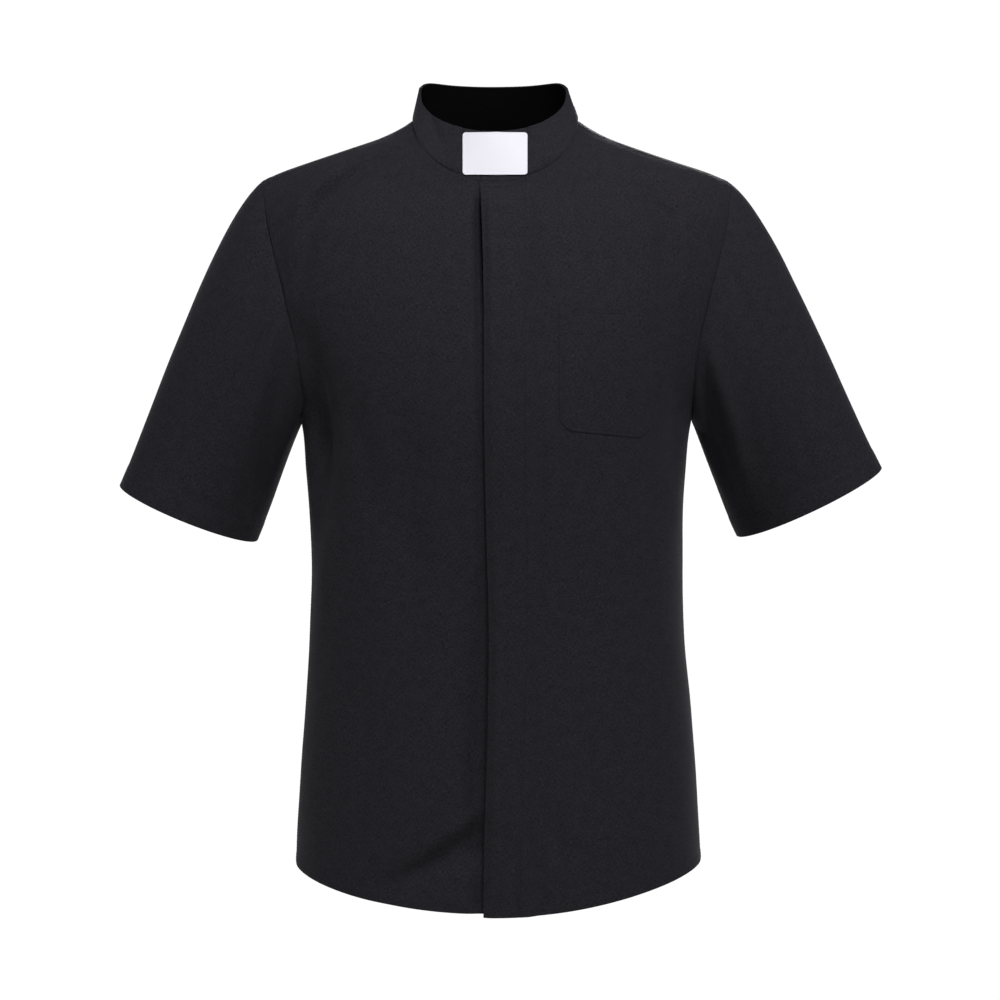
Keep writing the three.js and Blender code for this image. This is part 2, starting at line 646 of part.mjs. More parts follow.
// Strip of the collar between two turns, each a function of the rise.
function collarStrip(from, to, rises, out) {
  const inside = neckTurns().filter((turn) => turn > from(0) + 0.05 && turn < to(0) - 0.05);
  return panelFrom(rises.map((rise) =>
    [from(rise), ...inside, to(rise)].map((turn) => collarSpot(turn, rise, out))));
}

// Closed wall of a panel. Rows run up, and columns run to the right as seen from outside.
// A tube's last column meets its first.
function wall({ points, inward }, tube = false) {
  const rows = points.length;
  const columns = points[0].length;
  const inner = points.map((row, j) => row.map((point, i) => point.clone().add(inward[j][i])));
  const positions = [];
  for (const grid of [points, inner]) {
    for (const row of grid) for (const point of row) positions.push(point.x, point.y, point.z);
  }
  const at = (layer, j, i) => layer * rows * columns + j * columns + (i % columns);
  const faces = [];
  const quad = (a, b, c, d) => faces.push(a, b, c, a, c, d);
  const spans = tube ? columns : columns - 1;
  const top = rows - 1;
  for (let j = 0; j < top; j++) {
    for (let i = 0; i < spans; i++) {
      quad(at(0, j, i), at(0, j, i + 1), at(0, j + 1, i + 1), at(0, j + 1, i));
      quad(at(1, j, i), at(1, j + 1, i), at(1, j + 1, i + 1), at(1, j, i + 1));
    }
    if (!tube) {
      quad(at(0, j, 0), at(0, j + 1, 0), at(1, j + 1, 0), at(1, j, 0));
      quad(at(0, j, spans), at(1, j, spans), at(1, j + 1, spans), at(0, j + 1, spans));
    }
  }
  for (let i = 0; i < spans; i++) {
    quad(at(0, 0, i), at(1, 0, i), at(1, 0, i + 1), at(0, 0, i + 1));
    quad(at(0, top, i), at(0, top, i + 1), at(1, top, i + 1), at(1, top, i));
  }
  const geometry = new THREE.BufferGeometry();
  geometry.setAttribute("position", new THREE.Float32BufferAttribute(positions, 3));
  geometry.setIndex(faces);
  geometry.computeVertexNormals();
  return geometry;
}

// Panel with its edges drawn in by half a seam gap.
function drawnIn({ points, inward }) {
  const result = points.map((row) => row.map((point) => point.clone()));
  const last = points.length - 1;
  const end = points[0].length - 1;
  const pull = (point, from, towards) =>
    point.addScaledVector(towards.clone().sub(from).normalize(), SEAM_GAP / 2);
  points.forEach((row, j) => {
    pull(result[j][0], row[0], row[1]);
    pull(result[j][end], row[end], row[end - 1]);
  });
  points[0].forEach((point, i) => {
    pull(result[0][i], point, points[1][i]);
    pull(result[last][i], points[last][i], points[last - 1][i]);
  });
  return { points: result, inward };
}

const shirting = new THREE.MeshStandardMaterial({ color: 0x1b1a1f, roughness: 0.9, metalness: 0 });
const tabWhite = new THREE.MeshStandardMaterial({ color: 0xf1f0f7, roughness: 0.45, metalness: 0 });
const buttonBlack = new THREE.MeshStandardMaterial({ color: 0x111114, roughness: 0.35, metalness: 0 });

const shirt = new THREE.Group();
function add(name, geometry, material) {
  const mesh = new THREE.Mesh(geometry, material.clone());
  mesh.name = name;
  shirt.add(mesh);
}

const sleeveRight = sleevePanel("right");
const sleeveLeft = sleevePanel("left");
add("front_right", wall(drawnIn(frontRight)), shirting);
add("front_left", wall(drawnIn(frontLeft)), shirting);
add("back", wall(drawnIn(back)), shirting);
add("yoke", wall(drawnIn(yoke)), shirting);
add("sleeve_right", wall(sleeveRight, true), shirting);
add("sleeve_left", wall(sleeveLeft, true), shirting);

// Buttonhole band, hidden under the upper front, with the buttons beneath it.
function flyBand() {
  const spots = [];
  const low = hemZ(0) + 3;
  for (let j = 0; j <= BAND_STEPS; j++) {
    const z = mix(low, BAND_TOP_Z, j / BAND_STEPS);
    const from = fly.edge(z) + BAND_FROM_EDGE;
    const to = fly.stitch(z);
    spots.push([0, 0.5, 1].map((share) => skin(turnAt(mix(from, to, share), z, "front"), z, BAND_LIFT)));
  }
  return panelFrom(spots);
}
add("fly_band", wall(flyBand()), shirting);

BUTTON_HEIGHTS.forEach((z, k) => {
  const { point, normal } = skin(turnAt(BUTTON.x, z, "front"), z, BUTTON.base + BUTTON.thickness / 2);
  const disc = new THREE.CylinderGeometry(BUTTON.radius, BUTTON.radius, BUTTON.thickness, BUTTON.sides);
  disc.applyQuaternion(new THREE.Quaternion().setFromUnitVectors(vec(0, 1, 0), normal));
  disc.translate(point.x, point.y, point.z);
  add(`button_${k + 1}`, disc, buttonBlack);
});

// Neckband, closed near the centre front, with the outer collar and the tab on it.
const closure = (rise) => collarTurnAtX(NECKBAND_CLOSURE_X, rise);
const closureGap = SEAM_GAP / NECK_HALF_WIDTH;
const neckband = collarStrip(
  (rise) => closure(rise) + closureGap,
  (rise) => closure(rise) + 2 * Math.PI,
  NECKBAND_RISES,
  0,
);
add("neckband", wall(neckband), shirting);

const COLLAR_OUT = CLOTH + SEAM_GAP;
const besideTab = TAB.halfWidth + 0.5;
const collar = collarStrip(
  (rise) => collarTurnAtX(TAB.centre + besideTab, rise),
  (rise) => collarTurnAtX(TAB.centre - besideTab, rise) + 2 * Math.PI,
  COLLAR_RISES,
  COLLAR_OUT,
);
add("collar", wall(collar), shirting);

// Spot of the collar at a given x and height near the front.
function collarSpotAt(x, z, out) {
  let rise = 0.5;
  for (let i = 0; i < 20; i++) {
    const turn = collarTurnAtX(x, rise);
    const low = collarPoint(turn, 0).z;
    rise = (z - low) / (collarPoint(turn, 1).z - low);
  }
  return collarSpot(collarTurnAtX(x, rise), rise, out);
}

// White tab: a stiff strip with straight edges and rounded corners, in the collar's opening.
function tabPanel() {
  const { centre, halfWidth: half, corner, bottom, top } = TAB;
  const insets = [0, 0.3, 1].map((share) => corner * share);
  const heights = [
    ...insets.map((inset) => bottom + inset),
    (bottom + top) / 2,
    ...insets.reverse().map((inset) => top - inset),
  ];
  return panelFrom(heights.map((z) => {
    const lost = Math.max(0, corner - Math.min(z - bottom, top - z));
    const reach = half - corner + Math.sqrt(Math.max(0, corner ** 2 - lost ** 2));
    const row = [];
    for (let k = 0; k <= 8; k++) row.push(collarSpotAt(centre + mix(-reach, reach, k / 8), z, COLLAR_OUT));
    return row;
  }));
}
add("tab", wall(tabPanel()), tabWhite);

// Patch pocket, made from the points of the front moved out.
function pocketPanel() {
  const steps = 8;
  const spots = [];
  const heights = [0, 0.08, 0.3, 0.5, 0.7, 0.85, 1];
  for (const v of heights) {
    const row = [];
    for (let k = 0; k <= steps; k++) {
      const u = k / steps;
      const nearSide = Math.min(u, 1 - u) * (POCKET.right - POCKET.left);
      const cut = Math.max(0, POCKET_CORNER - nearSide) * (1 - v) ** 3;
      const x = mix(POCKET.left, POCKET.right, u);
      const low = mix(POCKET.lowLeft, POCKET.lowRight, u);
      const high = mix(POCKET.topLeft, POCKET.topRight, u);
      const z = mix(low, high, v) + cut;
      row.push(skin(turnAt(x, z, "front"), z, CLOTH + SEAM_GAP + 0.2));
    }
    spots.push(row);
  }
  return panelFrom(spots);
}
add("pocket", wall(pocketPanel()), shirting);

export default shirt;
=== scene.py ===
import math

import bpy
import numpy as np
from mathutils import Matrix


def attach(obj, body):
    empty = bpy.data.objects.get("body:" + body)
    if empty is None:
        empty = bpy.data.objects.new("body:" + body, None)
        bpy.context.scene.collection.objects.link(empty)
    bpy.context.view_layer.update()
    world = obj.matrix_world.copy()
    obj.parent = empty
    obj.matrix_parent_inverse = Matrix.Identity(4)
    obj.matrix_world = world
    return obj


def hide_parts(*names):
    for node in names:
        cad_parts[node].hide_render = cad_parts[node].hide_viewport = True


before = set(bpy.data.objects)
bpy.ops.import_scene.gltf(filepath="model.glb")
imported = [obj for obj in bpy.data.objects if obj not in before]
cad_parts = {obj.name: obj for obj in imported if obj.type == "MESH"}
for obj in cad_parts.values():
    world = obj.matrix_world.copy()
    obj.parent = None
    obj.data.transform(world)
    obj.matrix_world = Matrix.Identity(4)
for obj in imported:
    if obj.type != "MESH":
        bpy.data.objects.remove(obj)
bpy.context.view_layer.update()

# Right front. Black poly-cotton shirting, cut in one piece from the neck to the hem, on the wearer's
# right. It lies underneath at the closure. Sizes are in millimetres, +X to the wearer's left, +Y to
# the back and +Z up, with the origin between the points where the shoulders meet the collar.
MM = 0.001
CLOTH = 0.7
RIM_BULGE = 0.45
NECK_HALF_WIDTH = 80
NECK_CENTRE_X = -1.5
NECK_FRONT_DROP = 64
NECK_BACK_DROP = 5
SHOULDER_Z = -58
UNDERARM_Z = -292
HEM_SIDE_Z = -722
HEM_FRONT_DROP = 33
HEM_BACK_DROP = 44
HEM_ROUNDNESS = 1.7
HEM_TILT = 2
WELL_INSIDE_Z = -110
UNDER_REACH = 22
CLEAR_OF_FLY = 50
YOKE_FORWARD = 26
YOKE_BACK_TIP_DROP = 104
NECK_SHARE = 4 / 11  # share of a front's width that ends at the neck, the rest ends at the yoke
NECK_COLUMNS = 14
ARMHOLE_ROWS = 79
YOKE_FRONT_LENGTH = 134
STEP = 2.8
SEAM_ROWS = (0, 0.35, 0.8, 1.4, 2.2, 3.4, 4.8, 5.8, 6.6, 7.6, 9.4)
HEM_DEPTH = 8
HEM_STITCH_INSIDE = 1.4
ARMHOLE_SEAM = 6.2
FRONT_TOP_SEAM = 3.2
SEAM_STITCH_INSIDE = 0.8
BODY_SWELLS = (11, 0.28)
FINE_HEM_ROWS = (0, 0.35, 0.8, 1.6, 3, 4.6, 6, 6.8, 7.6, 8.4, 9.6, 11.6)

DEPTH_COLUMNS = ("z", "front", "back", "side", "power")
DEPTHS = (
    (10, -55, 52, 0, 2), (0, -59, 58, 0, 2), (-20, -67, 73, 1, 2), (-40, -74, 86, 2, 2),
    (-64, -83, 97, 3, 2), (-100, -99, 108, 2, 2.02), (-150, -114, 115, 0, 2.06),
    (-200, -124, 117, -2, 2.1), (-250, -129, 114, -3, 2.15), (-300, -129, 109, -4, 2.2),
    (-360, -124, 101, -6, 2.25), (-440, -118, 96, -8, 2.3), (-520, -117, 99, -8, 2.3),
    (-600, -120, 106, -7, 2.3), (-680, -125, 112, -6, 2.3), (-780, -129, 115, -6, 2.3),
)
WIDTH_COLUMNS = ("z", "right", "left")
WIDTHS = (
    (10, 62, 62), (0, 82, 79.5), (-6, 91, 88), (-17, 114, 109), (-28, 147, 139),
    (-40, 183, 174), (-50, 211, 205), (-58, 228, 224), (-66, 240, 238), (-80, 251, 250),
    (-100, 255, 255), (-130, 251, 251), (-160, 243, 243), (-190, 231, 231), (-220, 218, 218),
    (-250, 206, 205), (-275, 197, 195), (-292, 191, 189.5), (-340, 186, 184), (-420, 181, 181),
    (-500, 183, 183), (-580, 188, 190), (-660, 194, 196), (-780, 199, 203),
)
ARMHOLE_COLUMNS = ("z", "front", "back")
ARMHOLES = (
    (-58, 228, 228), (-80, 224, 226), (-100, 221, 223), (-130, 214, 217), (-160, 206, 210),
    (-190, 199, 203), (-220, 192, 196), (-250, 189, 190.5), (-275, 188.5, 189),
    (-285, 189, 189), (-292, 190, 190),
)

# Folds and creases of the body: face, depth (a trough is negative), half width, and a line of
# points (x, z) that each runs along. The solids have the first eight of the front and the first
# five of the back. The third, at the armpit, lies up to 10 mm nearer its seam here.
FOLDS = (
    ("front", -4, 13, ((-112, -40), (-146, -60), (-170, -84), (-188, -116))),
    ("front", 3, 11, ((-100, -27), (-152, -50), (-180, -80), (-197, -120))),
    ("front", -15, 22, ((-190, -220), (-180, -282), (-179, -340), (-184, -420))),
    ("front", -5, 15, ((182, -180), (178, -270), (172, -330))),
    ("front", -5, 14, ((-26, -440), (-27, -560), (-24, -690))),
    ("front", -6, 15, ((-16, -684), (-54, -704), (-100, -730))),
    ("front", -3, 26, ((-85, -300), (-95, -440))),
    ("front", -3, 14, ((132, -62), (157, -96), (168, -150))),
    ("front", -7, 20, ((-196, -240), (-186, -290), (-186, -340))),
    ("front", 5, 18, ((-176, -380), (-174, -420), (-178, -470))),
    ("front", -5, 9, ((-82, -20), (-108, -36), (-141, -55), (-166, -80), (-181, -108), (-186, -160))),
    ("front", 4, 8, ((-112, -28), (-146, -44), (-171, -64), (-187, -84), (-195, -128))),
    ("front", -2.5, 7, ((140, -66), (152, -84), (166, -94), (160, -124))),
    ("front", 2, 8, ((122, -58), (142, -98), (152, -140))),
    ("front", 2.5, 7, ((-13, -654), (-31, -670), (-55, -690), (-99, -717))),
    ("front", -2, 8, ((-14, -671), (-36, -687), (-60, -704), (-104, -731))),
    ("front", -5, 20, ((-14, -690), (-50, -712), (-98, -738))),
    ("front", -3, 17, ((-96, -372), (-74, -424), (-84, -470))),
    ("front", -2.5, 15, ((-92, -290), (-80, -330), (-92, -372))),
    ("front", -3, 16, ((158, -130), (164, -180), (154, -230))),
    ("front", -2, 14, ((36, -120), (34, -180), (38, -240))),
    ("front", -2, 12, ((40, -640), (58, -690), (84, -712))),
    ("front", -2.5, 12, ((-150, -250), (-122, -330), (-112, -420))),
    ("front", -2, 12, ((160, -330), (132, -410), (122, -500))),
    ("front", -2, 14, ((-128, -560), (-120, -640), (-132, -700))),
    ("back", -5, 18, ((-186, -215), (-150, -330), (-125, -450))),
    ("back", -5, 18, ((184, -220), (146, -340), (112, -440))),
    ("back", -5, 26, ((-60, -330), (-52, -430), (-70, -560))),
    ("back", -5, 24, ((44, -350), (58, -470), (50, -600))),
    ("back", 4, 24, ((-4, -380), (4, -470), (-8, -600))),
    ("back", -3, 9, ((-178, -190), (-150, -250), (-96, -330))),
    ("back", -2.5, 8, ((180, -180), (140, -250), (100, -310))),
    ("back", -2, 8, ((-128, -120), (-140, -160), (-158, -200))),
    ("back", -2, 8, ((122, -122), (138, -164), (154, -205))),
    ("back", -3, 11, ((-150, -420), (-112, -500), (-96, -600))),
    ("back", -3, 11, ((148, -430), (104, -520), (100, -620))),
    ("back", -2.5, 9, ((-20, -560), (-44, -640), (-70, -710))),
)


def mix(a, b, t):
    return a + (b - a) * t


def ease(start, end, value):
    """Smooth step from 0 at start to 1 at end, either way round."""
    t = np.clip((value - start) / (end - start), 0, 1)
    return t * t * (3 - 2 * t)


def hump(distance, width):
    return np.exp(-((distance / width) ** 2))


def unit(way):
    return way / np.linalg.norm(way, axis=-1, keepdims=True)


def column(names, rows, name):
    """Smooth curve through one column of a table, read by height, its first column."""
    zs = np.array([row[0] for row in rows], float)[::-1]
    values = np.array([row[names.index(name)] for row in rows], float)[::-1]
    steps = np.diff(values) / np.diff(zs)
    slopes = np.concatenate([steps[:1], (steps[:-1] + steps[1:]) / 2, steps[-1:]])

    def read(z):
        z = np.clip(z, zs[0], zs[-1])
        k = np.clip(np.searchsorted(zs, z, side="right") - 1, 0, len(zs) - 2)
        span = zs[k + 1] - zs[k]
        t = (z - zs[k]) / span
        rise = values[k + 1] - values[k]
        bend = span * t * (1 - t) * ((1 - t) * slopes[k] - t * slopes[k + 1])
        return values[k] + t * t * (3 - 2 * t) * rise + bend

    return read


def curves(names, rows):
    """Curves of all the columns of a table but the first, by their names."""
    return {name: column(names, rows, name) for name in names[1:]}


body = {**curves(DEPTH_COLUMNS, DEPTHS), **curves(WIDTH_COLUMNS, WIDTHS)}
armhole = curves(ARMHOLE_COLUMNS, ARMHOLES)


def half_width(x, z):
    return np.where(x < 0, body["right"](z), body["left"](z))


def form(turn, z):
    """Point of the body's plain form at a turn round it: 0 is the centre front, a quarter the
    wearer's left side and a half the centre back."""
    turn, z = np.broadcast_arrays(np.asarray(turn, float), np.asarray(z, float))
    sine = np.sin(turn)
    power = body["power"](z)
    middle = body["side"](z)
    reach = np.where(np.cos(turn) > 0, body["front"](z), body["back"](z)) - middle
    depth = np.maximum(0, 1 - np.abs(sine) ** power) ** (1 / power)
    return np.stack([sine * half_width(sine, z), middle + reach * depth, z], -1)


def turn_at(x, z, face):
    turn = np.arcsin(np.clip(x / half_width(x, z), -1, 1))
    return turn if face == "front" else math.pi - turn


def fullness(point):
    """Below 1 inside the plain form, 1 on it and above 1 outside."""
    x, y, z = point[..., 0], point[..., 1], point[..., 2]
    middle = body["side"](z)
    reach = np.where(y < middle, body["front"](z), body["back"](z)) - middle
    power = body["power"](z)
    return (np.abs(x) / half_width(x, z)) ** power + np.abs((y - middle) / reach) ** power


def form_normal(point):
    ways = np.eye(3) * 0.5
    return unit(np.stack([fullness(point + way) - fullness(point - way) for way in ways], -1))


def cast_ray(start, direction, longest=260.0, halvings=40):
    """Where rays from inside the body meet its plain form."""
    near = np.zeros(start.shape[:-1])
    far = np.full(start.shape[:-1], longest)
    for _ in range(halvings):
        middle = (near + far) / 2
        inside = fullness(start + direction * middle[..., None]) < 1
        near = np.where(inside, middle, near)
        far = np.where(inside, far, middle)
    return start + direction * near[..., None]


def crease(x, z, depth, width, line, start=0.12, end=0.88):
    """Height of one fold, a half wave along its line, which is cut short at both ends."""
    nearest = np.full(x.shape, np.inf)
    along = np.zeros(x.shape)
    pieces = len(line) - 1
    for i, ((ax, az), (bx, bz)) in enumerate(zip(line[:-1], line[1:])):
        dx, dz = bx - ax, bz - az
        held = np.clip(((x - ax) * dx + (z - az) * dz) / (dx * dx + dz * dz), 0, 1)
        gap = np.hypot(x - ax - held * dx, z - az - held * dz)
        along = np.where(gap < nearest, (i + held) / pieces, along)
        nearest = np.minimum(nearest, gap)
    return depth * np.sin(math.pi * mix(start, end, along)) * hump(nearest, width)


def fold_height(point, face):
    rows = [row for row in FOLDS if row[0] == face]
    return sum(crease(point[..., 0], point[..., 2], *row[1:]) for row in rows)


def fold_level(point, turn):
    """Folds die away towards the side seams, the armholes and the yoke."""
    x, y, z = point[..., 0], point[..., 1], point[..., 2]
    from_armhole = ease(-3, 15, armhole["front"](z) - np.abs(x))
    beside = mix(1, from_armhole, ease(UNDERARM_Z, UNDERARM_Z + 40, z))
    front = ease(YOKE_FORWARD + 2, YOKE_FORWARD + 36, -y)
    back = ease(-YOKE_BACK_TIP_DROP - 6, -YOKE_BACK_TIP_DROP - 80, z)
    level = np.where(np.cos(turn) > 0, front, back)
    return ease(0.04, 0.46, np.abs(np.cos(turn))) * beside * level


def skin(turn, z, face, out=0):
    """Points and normals of the shirt's outer face, with its folds, moved out by a distance."""
    point = form(turn, z)
    normal = form_normal(point)
    height = fold_height(point, face) * fold_level(point, turn) + out
    return point + normal * height[..., None], normal


def neck_point(turn):
    cosine = np.cos(turn)
    z = -np.where(cosine > 0, NECK_FRONT_DROP, NECK_BACK_DROP) * np.abs(cosine)
    x = NECK_CENTRE_X + NECK_HALF_WIDTH * np.sin(turn)
    return np.where(
        (cosine > 0)[..., None],
        form(turn_at(x, z, "front"), z),
        form(turn_at(x, z, "back"), z),
    )


turns = np.linspace(0, math.pi / 2, 20001)
YOKE_TURN = turns[np.argmax(neck_point(turns)[:, 1] >= -YOKE_FORWARD)]


def armhole_front_top(side):
    z = np.linspace(SHOULDER_Z - 2, SHOULDER_Z - 60, 6001)
    points = form(turn_at(side * armhole["front"](z), z, "front"), z)
    return points[np.argmax(points[:, 1] <= -YOKE_FORWARD)]


def front_yoke_points(side, shares):
    """Points of the seam between a front and the yoke, from the neck to the armhole."""
    start = neck_point(np.array(YOKE_TURN * side))
    end = armhole_front_top(side)
    below = mix(start, end, shares[:, None])
    below[:, 2] = WELL_INSIDE_Z
    return cast_ray(below, np.array([0.0, 0.0, 1.0]))


def hem_z(turn):
    drop = np.where(np.cos(turn) > 0, HEM_FRONT_DROP, HEM_BACK_DROP)
    return HEM_SIDE_Z - drop * np.abs(np.cos(turn)) ** HEM_ROUNDNESS + HEM_TILT * np.sin(turn)


def graded(length, near, far, step=STEP):
    """Shares along a line: finely spaced at the given distances from its ends, even between."""
    end = [length - distance for distance in reversed(far)]
    count = max(2, round((end[0] - near[-1]) / step))
    return np.concatenate([near, np.linspace(near[-1], end[0], count + 1)[1:-1], end]) / length


def side_heights(top_z, low_z):
    """Heights up the side seam and then the armhole."""
    low = mix(low_z, UNDERARM_Z, graded(UNDERARM_Z - low_z, FINE_HEM_ROWS, (0,))[:-1])
    shares = 0.5 - 0.5 * np.cos(math.pi * np.linspace(0, 1, ARMHOLE_ROWS))
    shares = np.sort(np.concatenate([shares, 1 - np.array(SEAM_ROWS[2:]) / (top_z - UNDERARM_Z)]))
    return np.concatenate([low, mix(UNDERARM_Z, top_z, shares)])


def panel_marks(face, shares, low, top, heights, sides):
    """Turn and z of each point of a panel. Below the underarm the columns keep their turn, and
    above it they move over to their ends."""
    height = heights[:, None]
    over = ease(UNDERARM_Z, heights[-1], height)
    under = np.maximum(0, (height - UNDERARM_Z) / (heights[0] - UNDERARM_Z))
    z = height + (hem_z(low) - heights[0]) * under + (top[:, 1] - heights[-1]) * over
    x = mix(half_width(np.sin(low), z) * np.sin(low), top[:, 0], over)
    first = (sides[0](z[:, 0]) - x[:, 0])[:, None]
    last = (sides[1](z[:, -1]) - x[:, -1])[:, None]
    return turn_at(x + first * (1 - shares) ** 2 + last * shares ** 2, z, face), z


def side_x(side, face):
    return lambda z: side * np.where(z <= UNDERARM_Z, half_width(side, z), armhole[face](z))


def front_marks(side, lines):
    """Turn and z of each point of a front. Its first columns follow the lines of the closure,
    each a function of height, and the last of these is CLEAR_OF_FLY."""
    top_z = armhole_front_top(side)[2]
    heights = side_heights(top_z, hem_z(side * math.pi / 2))
    edge = side * CLEAR_OF_FLY
    neck_start = math.asin((edge - NECK_CENTRE_X) / NECK_HALF_WIDTH)
    neck_shares = np.linspace(0, NECK_SHARE, NECK_COLUMNS)[:-1]
    yoke_shares = mix(NECK_SHARE, 1, graded(YOKE_FRONT_LENGTH, (0,), SEAM_ROWS))
    shares = np.concatenate([neck_shares, yoke_shares])
    neck = neck_point(mix(neck_start, YOKE_TURN * side, neck_shares / NECK_SHARE))
    yoke_seam = front_yoke_points(side, (yoke_shares - NECK_SHARE) / (1 - NECK_SHARE))
    top = np.concatenate([neck, yoke_seam])[:, [0, 2]]
    low = mix(turn_at(edge, HEM_SIDE_Z, "front"), side * math.pi / 2, shares)
    sides = [lambda z: edge + 0 * z, side_x(side, "front")]
    turn, z = panel_marks("front", shares, low, top, heights, sides)
    share_up = (z[:, 0] - z[0, 0]) / (z[-1, 0] - z[0, 0])
    lead_turn, lead_z = [], []
    for line in lines:
        foot = hem_z(turn_at(line(HEM_SIDE_Z - HEM_FRONT_DROP), HEM_SIDE_Z, "front"))
        head_x = line(-NECK_FRONT_DROP)
        head = -NECK_FRONT_DROP * math.cos(math.asin((head_x - NECK_CENTRE_X) / NECK_HALF_WIDTH))
        here = mix(foot, head, share_up)
        lead_turn.append(turn_at(line(here), here, "front"))
        lead_z.append(here)
    turn = np.concatenate([np.array(lead_turn).T, turn], 1)
    return turn, np.concatenate([np.array(lead_z).T, z], 1)


def run(points, axis):
    """Distance from the start of each row (axis 1) or column (axis 0) of a grid of points."""
    steps = np.linalg.norm(np.diff(points, axis=axis), axis=-1)
    return np.concatenate([0 * np.take(steps, [0], axis), np.cumsum(steps, axis)], axis)


def left_over(points, axis):
    """Distance to the end of each row or column."""
    length = run(points, axis)
    return np.take(length, [-1], axis) - length


def pucker(along, seed):
    """Uneven little waves along a line of stitching."""
    lengths = enumerate((5.3, 7.9, 12.7), 1)
    waves = [np.sin(along * 2 * math.pi / length + seed * k) for k, length in lengths]
    return waves[0] * 0.4 + waves[1] * 0.35 + waves[2] * waves[1] * 0.5


def seam(distance, along, seed, width=ARMHOLE_SEAM):
    """Height beside a seam: down into it, up over the turned-in edges, and puckered."""
    felled = 0.3 * (1 - ease(width - 0.6, width + 1.2, distance))
    dips = -0.35 * hump(distance, 0.75) - 0.14 * hump(distance - width + SEAM_STITCH_INSIDE, 0.8)
    return felled + dips + 0.09 * pucker(along, seed) * np.exp(-distance / 9)


def hem(distance, along, seed, depth=HEM_DEPTH):
    """Height over a turned-up hem: a double layer with a row of stitching near its top."""
    layer = 0.4 * (1 - ease(depth - 0.3, depth + 0.9, distance))
    roping = 0.1 * pucker(along * 0.8 + distance * 0.5, seed) * np.exp(-distance / depth)
    return layer - 0.15 * hump(distance - depth + HEM_STITCH_INSIDE, 0.8) + roping


def drift(point, seed, amount, longest=150.0, count=14):
    """Slow uneven swells that no pressed cloth is without, drawn from a seed."""
    rng = np.random.default_rng(seed)
    height = 0
    for _ in range(count):
        way = unit(rng.normal(size=3))
        length = longest * rng.uniform(0.3, 1)
        height = height + np.sin((point @ way) * 2 * math.pi / length + rng.uniform(0, 6.28))
    return height * amount / math.sqrt(count)


def smooth_piece(name, vertices, faces, materials):
    mesh = bpy.data.meshes.new(name)
    mesh.from_pydata(vertices.tolist(), [], faces)
    mesh.polygons.foreach_set("use_smooth", [True] * len(mesh.polygons))
    for material in materials:
        mesh.materials.append(material)
    piece = bpy.data.objects.new(name, mesh)
    bpy.context.scene.collection.objects.link(piece)
    return piece


def shell(name, points, normals, materials, wall=CLOTH):
    """Thin closed shell from a grid of points of its outer face, with rounded edges. Rows run up
    and columns to the right as seen from outside. Its texture coordinates are lengths of cloth.
    The first material is the outer face's and the last the inner face's; for the cloth that last is a
    darker copy, painted shade."""
    rows, columns = points.shape[:2]
    inner = points - normals * wall
    middle = (points + inner) / 2
    border = [(0, i) for i in range(columns)]
    border += [(j, columns - 1) for j in range(1, rows)]
    border += [(rows - 1, i) for i in range(columns - 2, -1, -1)]
    border += [(j, 0) for j in range(rows - 2, 0, -1)]
    js = np.array([j for j, _ in border])
    columns_at = np.array([i for _, i in border])
    inside_j = np.clip(js, 1, rows - 2)
    inside_i = np.clip(columns_at, 1, columns - 2)
    away = unit(middle[js, columns_at] - middle[inside_j, inside_i])
    rim = middle[js, columns_at] + away * wall * RIM_BULGE
    vertices = np.concatenate([points.reshape(-1, 3), inner.reshape(-1, 3), rim]) * MM

    index = np.arange(rows * columns).reshape(rows, columns)
    a, b = index[:-1, :-1].ravel(), index[:-1, 1:].ravel()
    c, d = index[1:, 1:].ravel(), index[1:, :-1].ravel()
    size = rows * columns
    outside = np.stack([a, b, c, d], 1)
    inside = np.stack([a, d, c, b], 1) + size
    edge = index[js, columns_at]
    following = np.roll(edge, -1)
    rim_index = 2 * size + np.arange(len(border))
    rim_next = np.roll(rim_index, -1)
    upper = np.stack([edge, rim_index, rim_next, following], 1)
    lower = np.stack([rim_index, edge + size, following + size, rim_next], 1)
    faces = np.concatenate([outside, inside, upper, lower])

    piece = smooth_piece(name, vertices, faces.tolist(), materials)
    mesh = piece.data
    across = run(points, 1)
    across = across - across[:, [columns // 2]]
    flat = np.stack([across, run(points, 0)], -1) * MM
    spread = np.concatenate([flat.reshape(-1, 2), flat.reshape(-1, 2), flat[js, columns_at]])
    corner = np.zeros(len(mesh.loops), int)
    mesh.loops.foreach_get("vertex_index", corner)
    mesh.uv_layers.new(name="cloth").data.foreach_set("uv", spread[corner].ravel())
    layers = np.zeros(len(faces), int)
    layers[len(outside):len(outside) + len(inside)] = len(materials) - 1
    mesh.polygons.foreach_set("material_index", layers)
    mesh.update()
    return piece


# The shirting is a plain weave, black with a slight violet cast, uneven yarns and a faint bloom.
shirting = bpy.data.materials.new("black_shirting")
shirting.use_nodes = True
nodes, links = shirting.node_tree.nodes, shirting.node_tree.links
cloth_shader = nodes["Principled BSDF"]


def settle(node, values):
    """Set a node's inputs by their names."""
    for socket, value in values.items():
        node.inputs[socket].default_value = value


def math_node(operation, first, second=None):
    node = nodes.new("ShaderNodeMath")
    node.operation = operation
    for socket, value in zip(node.inputs, (first, second)):
        if isinstance(value, (int, float)):
            socket.default_value = value
        elif value is not None:
            links.new(value, socket)
    return node.outputs[0]


def yarn_noise(stretch, detail):
    """Noise drawn out along the yarns of one direction."""
    mapping = nodes.new("ShaderNodeMapping")
    settle(mapping, {"Scale": stretch})
    links.new(flat_cloth.outputs["UV"], mapping.inputs["Vector"])
    noise = nodes.new("ShaderNodeTexNoise")
    settle(noise, {"Scale": 1, "Detail": detail, "Roughness": 0.6})
    links.new(mapping.outputs["Vector"], noise.inputs["Vector"])
    return noise.outputs[0]


